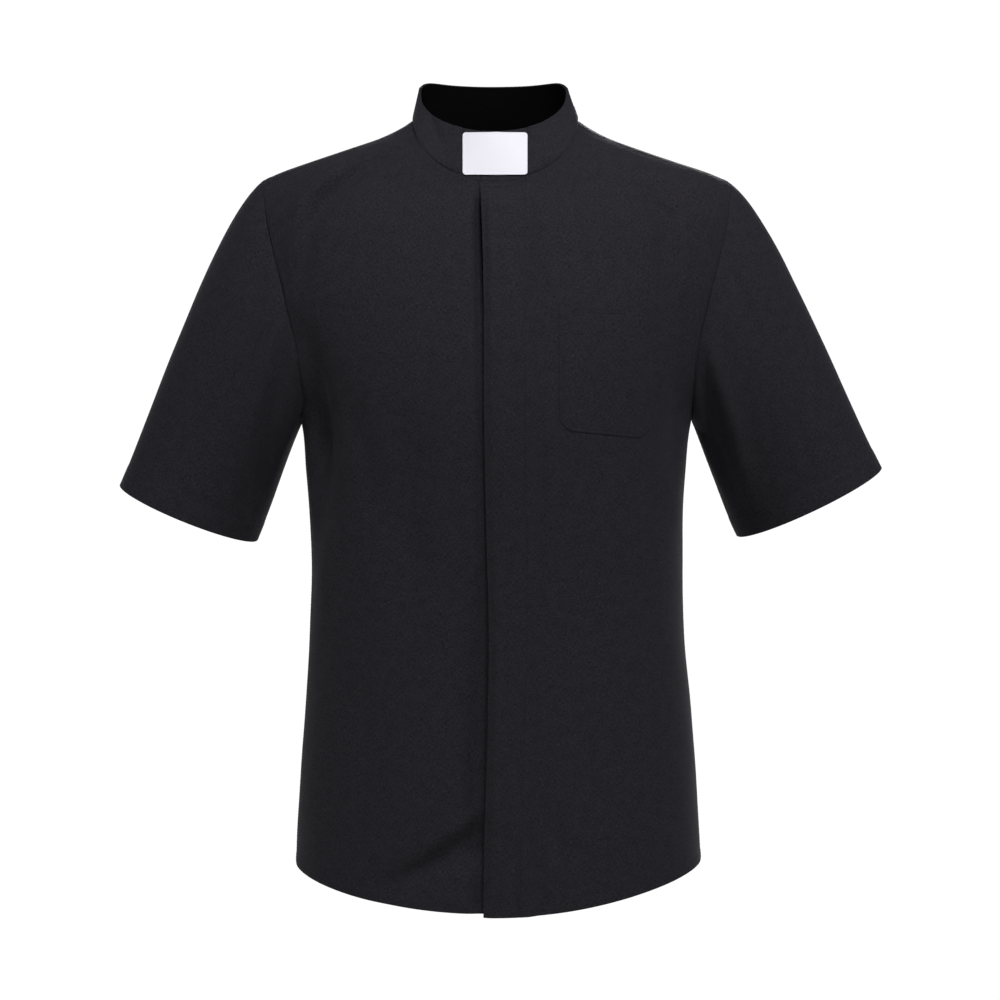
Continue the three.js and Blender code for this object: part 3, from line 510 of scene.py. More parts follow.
settle(cloth_shader, {
    "Roughness": 0.82, "Specular IOR Level": 0.12,
    "Sheen Weight": 0.045, "Sheen Roughness": 0.42, "Sheen Tint": (0.86, 0.86, 1.0, 1),
})
flat_cloth = nodes.new("ShaderNodeUVMap")
flat_cloth.uv_map = "cloth"
split = nodes.new("ShaderNodeSeparateXYZ")
links.new(flat_cloth.outputs["UV"], split.inputs[0])
YARN = 0.00036
warp = math_node("SINE", math_node("MULTIPLY", split.outputs["X"], math.pi / YARN))
weft = math_node("SINE", math_node("MULTIPLY", split.outputs["Y"], math.pi / YARN))
weave = math_node("MULTIPLY", warp, weft)
warp_slub = yarn_noise((1300, 330, 1), 2)
weft_slub = yarn_noise((330, 1300, 1), 2)
mottle = yarn_noise((90, 90, 1), 2)
slubs = math_node("ADD", warp_slub, weft_slub)
heather = math_node("ADD", slubs, math_node("MULTIPLY", mottle, 0.25))
shade = nodes.new("ShaderNodeMapRange")
settle(shade, {"From Min": 0.8, "From Max": 1.45})
links.new(heather, shade.inputs["Value"])
yarn_colour = nodes.new("ShaderNodeMix")
yarn_colour.name = "yarns"
yarn_colour.data_type = "RGBA"
settle(yarn_colour, {"A": (0.0050, 0.0047, 0.0062, 1), "B": (0.0268, 0.0253, 0.0326, 1)})
links.new(shade.outputs[0], yarn_colour.inputs["Factor"])
links.new(yarn_colour.outputs["Result"], cloth_shader.inputs["Base Color"])
relief = nodes.new("ShaderNodeBump")
settle(relief, {"Strength": 0.35, "Distance": 0.00012})
links.new(math_node("ADD", weave, math_node("MULTIPLY", heather, 1.2)), relief.inputs["Height"])
links.new(relief.outputs["Normal"], cloth_shader.inputs["Normal"])
# The inner faces get a copy of the same shirting with yarns about four times darker and no sheen:
# painted shade for the hollow inside the shirt.
shaded_inside = shirting.copy()
shaded_inside.name = "black_shirting_painted_shade_inside"
shaded_inside_nodes = shaded_inside.node_tree.nodes
settle(shaded_inside_nodes["yarns"], {"A": (0.0012, 0.0012, 0.0015, 1), "B": (0.0036, 0.0034, 0.0044, 1)})
settle(shaded_inside_nodes["Principled BSDF"], {"Sheen Weight": 0, "Specular IOR Level": 0.05})
shirting_and_shaded_inside = (shirting, shaded_inside)

# The right front sinks beside the fly's edge, deepest at the chest and below the waist.
FLY_COLUMNS = ("z", "edge", "stitch")
FLY = (
    (-60, -15.5, 26.5), (-150, -12.5, 26.5), (-300, -11.5, 25.5), (-400, -9.5, 27),
    (-490, -7.5, 27.5), (-600, -9, 24.5), (-700, -12, 21.5), (-780, -12.5, 20),
)
fly = curves(FLY_COLUMNS, FLY)
DIP_COLUMNS = ("z", "depth", "width")
DIPS = (
    (-60, 0.5, 4), (-72, 2, 4), (-90, 9, 5), (-140, 9, 6), (-200, 5, 7), (-330, 3.5, 7),
    (-430, 3.5, 9), (-500, 6, 13), (-600, 8, 16), (-680, 8, 16), (-730, 5, 11), (-780, 3, 8),
)
dip = curves(DIP_COLUMNS, DIPS)
DIP_FROM_EDGE = 0.3  # share of its width from the fly's edge to its middle


def beside_fly(x, z):
    from_middle = x - fly["edge"](z) + DIP_FROM_EDGE * dip["width"](z)
    return -dip["depth"](z) * hump(from_middle, dip["width"](z))


right_lines = [
    (lambda z, x=x: x + 0 * z)
    for x in mix(
        UNDER_REACH, -CLEAR_OF_FLY, graded(UNDER_REACH + CLEAR_OF_FLY, SEAM_ROWS, (0,))[:-1],
    )
]
turn, z = front_marks(-1, right_lines)
points, normals = skin(turn, z, "front")
points, normals = points[:, ::-1], normals[:, ::-1]
up = run(points, 0)
relief_right = (
    hem(up, run(points, 1), 1.0)
    + seam(left_over(points, 0), run(points, 1), 2.0, FRONT_TOP_SEAM)
    + seam(run(points, 1), up, 3.0)
    + drift(points, *BODY_SWELLS)
    + beside_fly(points[..., 0], points[..., 2])
)
armhole_edge = {-1: points[:, 0]}
points = points + normals * relief_right[..., None]
front_right_grid = (points, normals)
front_right = shell("shirt_front_right", points, normals, shirting_and_shaded_inside)
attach(front_right, "root")
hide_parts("front_right")

# Left front. The same shirting, on the wearer's left. Its edge is folded back into the fly, a
# placket that lies over the right front and hides the buttons, held by one row of stitching.
HEM_DROP = 3
HEM_DROP_ZS = (-600, -750)
HEM_DROP_REACH = 170
NECK_DROP = 3.5
NECK_DROP_ZS = (-110, -62)
NECK_DROP_START = 12
BESIDE_FLY = 28
UPPER_LIFT = 5.4
UPPER_EDGE_LIFT = 2.6
UPPER_EDGE_ROLL = 8
UPPER_NECK_ZS = (-66, -88)
FLY_STEP_END = 42
FLY_WIDTH = 39
STITCH_TO_CLEAR = 24
FLY_GROOVE = {"depth": 0.8, "width": 1.2}


def upper_lift(x, z):
    """How far the fly stands out over the right front, least along its edge and at the neck."""
    edge = fly["edge"](z)
    rolled = mix(UPPER_EDGE_LIFT, UPPER_LIFT, ease(edge, edge + UPPER_EDGE_ROLL, x))
    at_neck = mix(UPPER_EDGE_LIFT, rolled, ease(*UPPER_NECK_ZS, z))
    return at_neck * (1 - ease(BESIDE_FLY - 1, FLY_STEP_END, x))


def upper_drop(x, z):
    """How far the left front hangs lower than the right one beside the fly."""
    at_hem = HEM_DROP * ease(*HEM_DROP_ZS, z) * (1 - ease(BESIDE_FLY, HEM_DROP_REACH, x))
    at_neck = NECK_DROP * ease(*NECK_DROP_ZS, z) * (1 - ease(NECK_DROP_START, BESIDE_FLY, x))
    return at_hem + at_neck


left_lines = [
    (lambda z, s=s: mix(fly["edge"](z), fly["stitch"](z), s))
    for s in graded(FLY_WIDTH, SEAM_ROWS, (0, 0.6, 1.3, 2.2))
]
left_lines += [
    (lambda z, s=s: mix(fly["stitch"](z), CLEAR_OF_FLY, s))
    for s in graded(STITCH_TO_CLEAR, (0.7, 1.5, 2.6), (0,))[:-1]
]
turn, z = front_marks(1, left_lines)
x = form(turn, z)[..., 0]
points, normals = skin(turn, z - upper_drop(x, z), "front", upper_lift(x, z))
up = run(points, 0)
from_stitch = points[..., 0] - fly["stitch"](points[..., 2])
relief_left = (
    hem(up, run(points, 1), 4.0)
    + seam(left_over(points, 0), run(points, 1), 5.0, FRONT_TOP_SEAM)
    + seam(left_over(points, 1), up, 6.0)
    + drift(points, *BODY_SWELLS)
    - FLY_GROOVE["depth"] * hump(from_stitch, FLY_GROOVE["width"])
    + 0.1 * pucker(up, 7.0) * np.exp(-np.abs(from_stitch) / 5)
)
armhole_edge[1] = points[:, -1]
points = points + normals * relief_left[..., None]
front_left_grid = (points, normals)
front_left = shell("shirt_front_left", points, normals, shirting_and_shaded_inside)
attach(front_left, "root")
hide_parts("front_left")

# Fly band. A narrow strip of the shirting, folded double, that carries the buttonholes under the
# left front. It lies between the fly's edge and the row of stitching, which holds it.
BAND_LIFT = 3.6
BAND_TOP_Z = -106
BAND_ABOVE_HEM = 3
BAND_FROM_EDGE = 9
BAND_ROWS = 240
BAND_COLUMNS = 14
z = np.linspace(float(hem_z(0)) + BAND_ABOVE_HEM, BAND_TOP_Z, BAND_ROWS)[:, None]
x = mix(fly["edge"](z) + BAND_FROM_EDGE, fly["stitch"](z), np.linspace(0, 1, BAND_COLUMNS))
points, normals = skin(turn_at(x, z, "front"), z + 0 * x, "front", BAND_LIFT)
points = points + normals * (0.12 * pucker(run(points, 0), 8.0))[..., None]
fly_band = shell("shirt_fly_band", points, normals, shirting_and_shaded_inside)
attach(fly_band, "root")
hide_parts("fly_band")

# Buttons. Six flat round buttons of black plastic with a rolled rim, sewn to the right front
# beneath the fly band with four small stitches each.
BUTTON_HEIGHTS = (-124, -221, -318, -415, -512, -609)
BUTTON_X = 6
BUTTON_BASE = 0.3
# Button's section from the middle of its back to the middle of its face: radius and height.
BUTTON_SECTION = (
    (0, 0), (4.2, 0), (5.2, 0.25), (5.5, 0.75), (5.2, 1.3), (4.6, 1.5), (4.1, 1.4), (3.5, 1.05),
    (0, 0.95),
)
BUTTON_SIDES = 32
BUTTON_STITCH = {"from_middle": 1.5, "base": 1.0, "radius": 0.75, "height": 0.35, "sides": 8}


def speckled(name, roughness, gloss, grain, detail, tones):
    """Finish of two near tones, mixed by a fine noise."""
    finish = bpy.data.materials.new(name)
    finish.use_nodes = True
    nodes, links = finish.node_tree.nodes, finish.node_tree.links
    shader = nodes["Principled BSDF"]
    settle(shader, {"Roughness": roughness, "Specular IOR Level": gloss})
    speckle = nodes.new("ShaderNodeTexNoise")
    settle(speckle, {"Scale": grain, "Detail": detail})
    colour = nodes.new("ShaderNodeMix")
    colour.data_type = "RGBA"
    settle(colour, {"A": tones[0], "B": tones[1]})
    links.new(speckle.outputs[0], colour.inputs["Factor"])
    links.new(colour.outputs["Result"], shader.inputs["Base Color"])
    return finish


button_black = speckled(
    "black_button", 0.28, 0.5, 240, 4, ((0.0045, 0.0045, 0.0055, 1), (0.011, 0.011, 0.013, 1)),
)
for k, height in enumerate(BUTTON_HEIGHTS, 1):
    turn = turn_at(BUTTON_X, height, "front")
    place, out = skin(turn, np.array(float(height)), "front", BUTTON_BASE)
    side_way = unit(np.cross([0, 0, 1], out))
    up_way = np.cross(out, side_way)
    way_at = lambda angle: side_way * math.cos(angle) + up_way * math.sin(angle)
    vertices = [place]
    for radius, rise in BUTTON_SECTION[1:-1]:
        for angle in np.linspace(0, 2 * math.pi, BUTTON_SIDES, endpoint=False):
            vertices.append(place + way_at(angle) * radius + out * rise)
    vertices.append(place + out * BUTTON_SECTION[-1][1])
    rings = len(BUTTON_SECTION) - 2
    at = lambda ring, i: 1 + ring * BUTTON_SIDES + i % BUTTON_SIDES
    faces = [(0, at(0, i + 1), at(0, i)) for i in range(BUTTON_SIDES)]
    for ring in range(rings - 1):
        faces += [
            (at(ring, i), at(ring, i + 1), at(ring + 1, i + 1), at(ring + 1, i))
            for i in range(BUTTON_SIDES)
        ]
    top = len(vertices) - 1
    faces += [(at(rings - 1, i), at(rings - 1, i + 1), top) for i in range(BUTTON_SIDES)]
    sides = BUTTON_STITCH["sides"]
    for quarter in (0.25, 0.75, 1.25, 1.75):
        away = way_at(quarter * math.pi) * BUTTON_STITCH["from_middle"]
        centre = place + away + out * BUTTON_STITCH["base"]
        start = len(vertices)
        for a in range(sides):
            vertices.append(centre + way_at(a * 2 * math.pi / sides) * BUTTON_STITCH["radius"])
        vertices.append(centre + out * BUTTON_STITCH["height"])
        faces += [(start + a, start + (a + 1) % sides, start + sides) for a in range(sides)]
    button = smooth_piece(f"shirt_button_{k}", np.array(vertices) * MM, faces, (button_black,))
    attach(button, "root")
    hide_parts(f"button_{k}")

# Back. One wide piece of the shirting from the yoke seam to the longer, rounded tail. It is sewn
# to the yoke along its top and to the fronts down both sides, and its tail is turned up and sewn.
BACK_WIDTH = 430
YOKE_BACK_DROP = 88
BACK_TOP_SEAM = 1.8
NARROW_SEAM = 3
back_shares = graded(BACK_WIDTH, SEAM_ROWS, SEAM_ROWS)
across = 1 - 2 * back_shares
top = np.stack([
    across * armhole["back"](-YOKE_BACK_TIP_DROP),
    -mix(YOKE_BACK_DROP, YOKE_BACK_TIP_DROP, across ** 2),
], 1)
heights = side_heights(-YOKE_BACK_TIP_DROP, HEM_SIDE_Z)
low = mix(math.pi / 2, 1.5 * math.pi, back_shares)
sides = [side_x(1, "back"), side_x(-1, "back")]
turn, z = panel_marks("back", back_shares, low, top, heights, sides)
back_plain, normals = skin(turn, z, "back")
up = run(back_plain, 0)
relief_back = (
    hem(up, run(back_plain, 1), 9.0)
    + seam(left_over(back_plain, 0), run(back_plain, 1), 10.0, BACK_TOP_SEAM)
    + seam(run(back_plain, 1), up, 11.0, NARROW_SEAM)
    + seam(left_over(back_plain, 1), up, 12.0, NARROW_SEAM)
    + drift(back_plain, *BODY_SWELLS)
)
points = back_plain + normals * relief_back[..., None]
back_grid = (points, normals)
back = shell("shirt_back", points, normals, shirting_and_shaded_inside)
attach(back, "root")
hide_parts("back")

# Yoke. A double shaped piece over the shoulder blades and shoulders. It comes a little way down
# the front, with the fronts and the back felled under its edges.
YOKE_DEPTH = 150
YOKE_NECK_COLUMNS = 73
YOKE_NECK_SHARES = (7 / 26, 19 / 26)  # shares of the back seam that lie below the neck's two ends
PIVOT_Z = -120
yoke_side = graded(YOKE_FRONT_LENGTH, SEAM_ROWS, (0,))[:-1]
yoke_neck = np.linspace(0, 1, YOKE_NECK_COLUMNS)
front_edge = np.concatenate([
    front_yoke_points(1, 1 - yoke_side),
    neck_point(mix(YOKE_TURN, 2 * math.pi - YOKE_TURN, yoke_neck)),
    front_yoke_points(-1, 1 - yoke_side)[::-1],
])
back_seam = np.concatenate([
    mix(0, YOKE_NECK_SHARES[0], yoke_side),
    mix(*YOKE_NECK_SHARES, yoke_neck),
    mix(1, YOKE_NECK_SHARES[1], yoke_side)[::-1],
])
across = 1 - 2 * back_seam
seam_z = -mix(YOKE_BACK_DROP, YOKE_BACK_TIP_DROP, across ** 2)
seam_turn = turn_at(across * armhole["back"](-YOKE_BACK_TIP_DROP), seam_z, "back")
back_edge = form(seam_turn, seam_z)
back_angle = np.arctan2(back_edge[:, 1], back_edge[:, 2] - PIVOT_Z)
front_angle = np.arctan2(front_edge[:, 1], front_edge[:, 2] - PIVOT_Z)
shares = graded(YOKE_DEPTH, SEAM_ROWS, SEAM_ROWS)[:, None]
angle = mix(back_angle, front_angle, shares)
start_x = mix(back_edge[:, 0], front_edge[:, 0], shares)
start = np.stack([start_x, 0 * angle, 0 * angle + PIVOT_Z], -1)
yoke_plain = cast_ray(start, np.stack([0 * angle, np.sin(angle), np.cos(angle)], -1))
yoke_plain[0], yoke_plain[-1] = back_edge, front_edge
points, normals = yoke_plain, form_normal(yoke_plain)
relief_yoke = (
    seam(run(points, 0), run(points, 1), 13.0, NARROW_SEAM)
    + seam(left_over(points, 0), run(points, 1), 14.0, NARROW_SEAM)
    - 0.9 * hump(left_over(points, 0), 1.5)
    + seam(run(points, 1), run(points, 0), 15.0)
    + seam(left_over(points, 1), run(points, 0), 16.0)
    + drift(points, 17, 0.2)
)
points = points + normals * relief_yoke[..., None]
yoke_grid = (points, normals)
yoke = shell("shirt_yoke", points, normals, shirting_and_shaded_inside)
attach(yoke, "root")
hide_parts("yoke")

# Sleeves. Short set-in sleeves, each one piece closed by a seam at the underarm, with a wide
# turned-up hem. The head is eased into the armhole.
CUFFS = {
    "right": {"sign": -1, "outer": (-368, -8, -354), "inner": (-237, 24, -410)},
    "left": {"sign": 1, "outer": (374.5, -12, -337), "inner": (238, 32, -406)},
}
CUFF_HALF_DEPTH = 54
CUFF_FRONT_DIP = 0.12
SLEEVE_CAP = {"down": 0.57, "out": 0.82, "carry": 0.5}
SLEEVE_UNDER = {"down": 0.9, "out": 0.44, "carry": 0.5}
SLEEVE_SWELL = 0.3
SLEEVE_HEM = 20
SLEEVE_LENGTH = 240
SLEEVE_GAP = 0.4
SLEEVE_COLUMNS = 190
FINE_CUFF_ROWS = (0, 0.35, 0.8, 1.8, 4, 7, 10, 13, 16, 18, 19, 19.8, 20.6, 22)

# Folds of the sleeves in the front view, as for the body.
SLEEVE_FOLDS = {
    "right": (
        ("front", -4, 12, ((-200, -215), (-222, -300), (-232, -392))),
        ("front", 2.5, 10, ((-206, -190), (-236, -290), (-254, -385))),
        ("front", -1.5, 12, ((-230, -215), (-285, -300), (-320, -345))),
        ("front", -2, 8, ((-214, -120), (-226, -165), (-246, -215))),
        ("back", -3.5, 16, ((-214, -200), (-244, -290), (-250, -385))),
        ("back", -2, 14, ((-222, -160), (-280, -250), (-330, -320))),
        ("back", 2, 9, ((-216, -230), (-262, -310), (-276, -370))),
    ),
    "left": (
        ("front", -8, 14, ((190, -235), (206, -310), (222, -392))),
        ("front", 4, 9, ((198, -205), (226, -290), (252, -388))),
        ("front", 1.5, 16, ((262, -150), (285, -250), (310, -330))),
        ("front", -2, 8, ((216, -110), (228, -160), (250, -210))),
        ("back", -3.5, 16, ((212, -200), (242, -290), (250, -385))),
        ("back", -2, 14, ((226, -150), (284, -240), (334, -310))),
        ("back", 2, 9, ((220, -220), (258, -300), (272, -365))),
    ),
}


def even_ring(points, count):
    """Points at even distances along an open line of points."""
    lengths = run(points[None], 1)[0]
    places = np.linspace(0, lengths[-1], count)
    return np.stack([np.interp(places, lengths, points[:, axis]) for axis in range(3)], -1)


def hermite(start, end, leave, arrive, s):
    s2, s3 = s * s, s * s * s
    return (
        start * (2 * s3 - 3 * s2 + 1) + leave * (s3 - 2 * s2 + s)
        + end * (3 * s2 - 2 * s3) + arrive * (s3 - s2)
    )


sleeve_grids = {}
for name, cuff in CUFFS.items():
    sign = cuff["sign"]
    front_line = armhole_edge[sign]
    front_line = front_line[front_line[:, 2] >= UNDERARM_Z]
    yoke_line = yoke_plain[::-1, 0 if sign > 0 else -1]
    back_line = back_plain[::-1, 0 if sign > 0 else -1]
    back_line = back_line[back_line[:, 2] >= UNDERARM_Z]
    ring = np.concatenate([front_line[:-1], yoke_line[:-1], back_line])
    ring = even_ring(ring, SLEEVE_COLUMNS)
    peak = int(np.argmax(ring[:, 2]))
    lengths = run(ring[None], 1)[0]
    turns = np.where(
        np.arange(SLEEVE_COLUMNS) <= peak,
        math.pi * lengths / lengths[peak],
        math.pi * (1 + (lengths - lengths[peak]) / (lengths[-1] - lengths[peak])),
    )
    outer, inner = np.array(cuff["outer"], float), np.array(cuff["inner"], float)
    centre = (outer + inner) / 2
    across_cuff = (outer - inner) / 2
    axis = unit(np.array([across_cuff[2] * sign, 0, -abs(across_cuff[0])]))
    forward = np.array([0, -CUFF_HALF_DEPTH, -CUFF_HALF_DEPTH * CUFF_FRONT_DIP])
    facing = np.sin(turns)[:, None]
    high = (0.5 - 0.5 * np.cos(turns))[:, None]
    start = ring + [sign * SLEEVE_GAP, 0, 0]
    end = centre - across_cuff * np.cos(turns)[:, None] + forward * facing
    reach = np.linalg.norm(end - start, axis=-1, keepdims=True)
    leave = unit(np.concatenate([
        sign * mix(SLEEVE_UNDER["out"], SLEEVE_CAP["out"], high),
        -SLEEVE_SWELL * facing,
        -mix(SLEEVE_UNDER["down"], SLEEVE_CAP["down"], high),
    ], -1)) * reach * mix(SLEEVE_UNDER["carry"], SLEEVE_CAP["carry"], high)
    shares = graded(SLEEVE_LENGTH, SEAM_ROWS, FINE_CUFF_ROWS)[:, None, None]
    points = hermite(start, end, leave, axis * reach, shares)[::-1]
    if sign < 0:
        points = points[:, ::-1]
    around = np.gradient(points, axis=1)
    upward = np.gradient(points, axis=0)
    normals = unit(np.cross(around, upward))
    up, along = run(points, 0), run(points, 1)
    to_head, to_end = left_over(points, 0), left_over(points, 1)
    is_front = ease(4, -30, points[..., 1])
    folds = 0
    for face, depth, width, line in SLEEVE_FOLDS[name]:
        level = is_front if face == "front" else 1 - is_front
        folds = folds + level * crease(points[..., 0], points[..., 2], depth, width, line)
    edge_fade = ease(2, 30, up) * ease(2, 22, to_head)
    edge_fade = edge_fade * ease(0, 20, along) * ease(0, 20, to_end)
    relief_sleeve = (
        folds * edge_fade
        + hem(up, along, 18.0, SLEEVE_HEM)
        - 0.2 * hump(to_head, 0.75)
        + 0.16 * pucker(along, 19.0) * np.exp(-to_head / 12)
        + seam(along, up, 20.0, NARROW_SEAM)
        + seam(to_end, up, 21.0, NARROW_SEAM)
        + drift(points, 22, 0.25)
    )
    points = points + normals * relief_sleeve[..., None]
    sleeve_grids[name] = (points, normals)
    sleeve = shell(f"shirt_sleeve_{name}", points, normals, shirting_and_shaded_inside)
    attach(sleeve, "root")
    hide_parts(f"sleeve_{name}")

# Neckband. A double band of the shirting, stiffened inside, that stands round the neck and closes
# near the centre front. Its lower edge is tucked behind the neck edges of the fronts and the yoke.
COLLAR_TOP = {
    "centre_x": -3.5, "half_width": 71, "front": -68, "back": 49, "side": -2,
    "front_z": -15, "side_z": 37.5, "back_z": 37,
}
COLLAR_SIDE_DIP = 5.5
COLLAR_REAR_RISE = 1.5
STIFFENED = 1.1
NECK_SEAM_GAP = 0.5
NECKBAND_HEIGHT = 50
NECKBAND_COLUMNS = 181
NECKBAND_CLOSURE_X = -16
NECKBAND_SLIT_TURN = 0.006
NECKBAND_TUCK = 2.6
NECKBAND_BEHIND = 0.4
TOP_EDGE_ROWS = (0, 0.5, 1.1, 2, 3.4, 5)
COLLAR_STEP = 2.2


def collar_point(turn, rise):
    """Point of the form that the neckband and the collar share, by its turn round the neck and
    its rise from the neck seam (0) to the top (1)."""
    low = neck_point(turn) + [0, 0, NECK_SEAM_GAP]
    cosine = np.cos(turn)
    side = COLLAR_TOP["side"]
    reach = np.where(cosine > 0, COLLAR_TOP["front"], COLLAR_TOP["back"]) - side
    bend = np.where(cosine > 0, np.abs(cosine) ** 0.72, cosine ** 2)
    middle_z = np.where(cosine > 0, COLLAR_TOP["front_z"], COLLAR_TOP["back_z"])
    high = np.stack([
        COLLAR_TOP["centre_x"] + COLLAR_TOP["half_width"] * np.sin(turn),
        side + reach * np.abs(cosine),
        mix(COLLAR_TOP["side_z"], middle_z, bend)
        - COLLAR_SIDE_DIP * hump(cosine, 0.3) + COLLAR_REAR_RISE * hump(cosine + 0.55, 0.3),
    ], -1)
    return mix(low, high, rise[..., None])


def collar_spots(turn, rise, out):
    turn, rise = np.broadcast_arrays(turn, rise)
    step = 0.02
    across = collar_point(turn + step, rise) - collar_point(turn - step, rise)
    higher, lower = np.minimum(1, rise + step), np.maximum(0, rise - step)
    normal = unit(np.cross(across, collar_point(turn, higher) - collar_point(turn, lower)))
    return collar_point(turn, rise) + normal * out, normal


def collar_turn(x, rise):
    """Turn at which the collar's front is at a distance x from the middle."""
    centre = mix(NECK_CENTRE_X, COLLAR_TOP["centre_x"], rise)
    return np.arcsin((x - centre) / mix(NECK_HALF_WIDTH, COLLAR_TOP["half_width"], rise))


rises = graded(NECKBAND_HEIGHT, SEAM_ROWS[:6], TOP_EDGE_ROWS, COLLAR_STEP)[:, None]
closure = collar_turn(NECKBAND_CLOSURE_X, rises)
around = np.linspace(0, 1, NECKBAND_COLUMNS)
turn = mix(closure + NECKBAND_SLIT_TURN, closure + 2 * math.pi, around)
points, normals = collar_spots(turn, rises, 0)
points = points + normals * (0.05 * pucker(run(points, 1), 23.0))[..., None]
points[0] = points[1] - normals[1] * NECKBAND_BEHIND - [0, 0, NECKBAND_TUCK]
neckband = shell("shirt_neckband", points, normals, shirting_and_shaded_inside, STIFFENED)
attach(neckband, "root")
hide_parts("neckband")

# Collar. One stiffened strip of the shirting, folded over the neckband and stitched along both of
# its edges. Its ends stop either side of the tab.
TAB = {"centre": -1.8, "half_width": 30.4, "corner": 2.8, "bottom": -57.2, "top": -16.2}
TAB_CLEARANCE = 1
COLLAR_OUT = 1.5
COLLAR_LOW = 0.04
COLLAR_HEIGHT = 48
COLLAR_LENGTH = 400
COLLAR_LENGTH_STEP = 2.4
COLLAR_STITCH = {"low": 2.0, "top": 5.0}
# A soft dent beside the tab, on the wearer's right: depth, half width and line.
COLLAR_DENT = (-1.3, 3.5, ((-64, 6), (-60, -10), (-53, -26)))
shares = graded(COLLAR_HEIGHT, SEAM_ROWS[:7], TOP_EDGE_ROWS, COLLAR_STEP)
rises = mix(COLLAR_LOW, 1, shares)[:, None]
beside_tab = TAB["half_width"] + TAB_CLEARANCE
left_end = collar_turn(TAB["centre"] + beside_tab, rises)
right_end = collar_turn(TAB["centre"] - beside_tab, rises) + 2 * math.pi
shares = graded(COLLAR_LENGTH, SEAM_ROWS[:7], SEAM_ROWS[:7], COLLAR_LENGTH_STEP)
turn = mix(left_end, right_end, shares)
points, normals = collar_spots(turn, rises, COLLAR_OUT)
up = run(points, 0)
along = run(points, 1)
relief_collar = (
    -0.9 * hump(up, 1.5) - 0.15 * hump(up - COLLAR_STITCH["low"], 0.7)
    - 0.12 * hump(left_over(points, 0) - COLLAR_STITCH["top"], 0.7)
    + 0.05 * pucker(along, 24.0) * np.exp(-up / 8)
    + drift(points, 25, 0.12, 60)
    + ease(0, -20, points[..., 1]) * crease(points[..., 0], points[..., 2], *COLLAR_DENT)
)
points = points + normals * relief_collar[..., None]
collar_grid = (points, normals)
collar = shell("shirt_collar", points, normals, shirting_and_shaded_inside, STIFFENED)
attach(collar, "root")
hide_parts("collar")

# Tab. A removable strip of stiff white plastic with rounded corners and an embossed line inside
# its edge, which slides in between the ends of the collar.
tab_white = bpy.data.materials.new("white_tab")
tab_white.use_nodes = True
nodes, links = tab_white.node_tree.nodes, tab_white.node_tree.links
tab_shader = nodes["Principled BSDF"]
settle(tab_shader, {
    "Base Color": (0.76, 0.75, 0.82, 1), "Roughness": 0.5, "Specular IOR Level": 0.3,
})
tab_grain = nodes.new("ShaderNodeTexNoise")
settle(tab_grain, {"Scale": 900, "Detail": 3})
tab_bump = nodes.new("ShaderNodeBump")
settle(tab_bump, {"Strength": 0.08, "Distance": 0.0002})
links.new(tab_grain.outputs[0], tab_bump.inputs["Height"])
links.new(tab_bump.outputs["Normal"], tab_shader.inputs["Normal"])

TAB_WALL = 1.0
TAB_GROOVE = {"inside": 2.6, "depth": 0.14, "width": 0.45}
TAB_STEP = 1.6
TAB_ROWS = (0, 0.12, 0.3, 0.6, 1.1, 1.7, 2.3, 2.9, 3.5)


def collar_spots_at(x, z, out):
    """Spots of the collar's front at given distances from the middle and heights."""
    rise = 0.5 + 0 * x
    for _ in range(20):
        turn = collar_turn(x, rise)
        low, top = collar_point(turn, 0 * rise)[..., 2], collar_point(turn, 0 * rise + 1)[..., 2]
        rise = (z - low) / (top - low)
    return collar_spots(collar_turn(x, rise), rise, out)


shares = graded(TAB["top"] - TAB["bottom"], TAB_ROWS, TAB_ROWS, TAB_STEP)
heights = mix(TAB["bottom"], TAB["top"], shares)
from_edge = np.minimum(heights - TAB["bottom"], TAB["top"] - heights)
corner = TAB["corner"]
lost = np.maximum(0, corner - from_edge)
reach = TAB["half_width"] - corner + np.sqrt(np.maximum(0, corner ** 2 - lost ** 2))
places = graded(2 * TAB["half_width"], TAB_ROWS, TAB_ROWS, TAB_STEP) * 2 - 1
tab_x = TAB["centre"] + places * reach[:, None]
points, normals = collar_spots_at(tab_x, heights[:, None] + 0 * tab_x, COLLAR_OUT)
side_inset = np.minimum(run(points, 1), left_over(points, 1))
nearest_edge = np.minimum(side_inset, np.minimum(run(points, 0), left_over(points, 0)))
groove = TAB_GROOVE["depth"] * hump(nearest_edge - TAB_GROOVE["inside"], TAB_GROOVE["width"])
points = points - normals * groove[..., None]
tab = shell("shirt_tab", points, normals, (tab_white,), TAB_WALL)
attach(tab, "root")
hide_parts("tab")

# Chest pocket. A plain patch on the wearer's left chest with a turned-in top and cut-off lower
# corners, edge-stitched round its three sides.
POCKET = {
    "left": 58.5, "right": 145, "top_left": -188, "top_right": -193,
    "low_left": -298, "low_right": -307,
}
POCKET_WIDTH = 87
POCKET_HEIGHT = 112
POCKET_TOP_HEM = 18
POCKET_STITCH = 2.2
POCKET_CORNER = 9
POCKET_OUT = 0.9
v = graded(POCKET_HEIGHT, SEAM_ROWS[:7], SEAM_ROWS[:7])[:, None]
u = graded(POCKET_WIDTH, SEAM_ROWS[:7], SEAM_ROWS[:7])[None]
near_side = np.minimum(u, 1 - u) * (POCKET["right"] - POCKET["left"])
cut = np.maximum(0, POCKET_CORNER - near_side) * (1 - v) ** 3
x = mix(POCKET["left"], POCKET["right"], u) + 0 * v
low_z = mix(POCKET["low_left"], POCKET["low_right"], u)
high_z = mix(POCKET["top_left"], POCKET["top_right"], u)
z = mix(low_z, high_z, v) + cut
points, normals = skin(turn_at(x, z, "front"), z, "front", POCKET_OUT)
edge_gap = np.minimum(np.minimum(run(points, 1), left_over(points, 1)), run(points, 0))
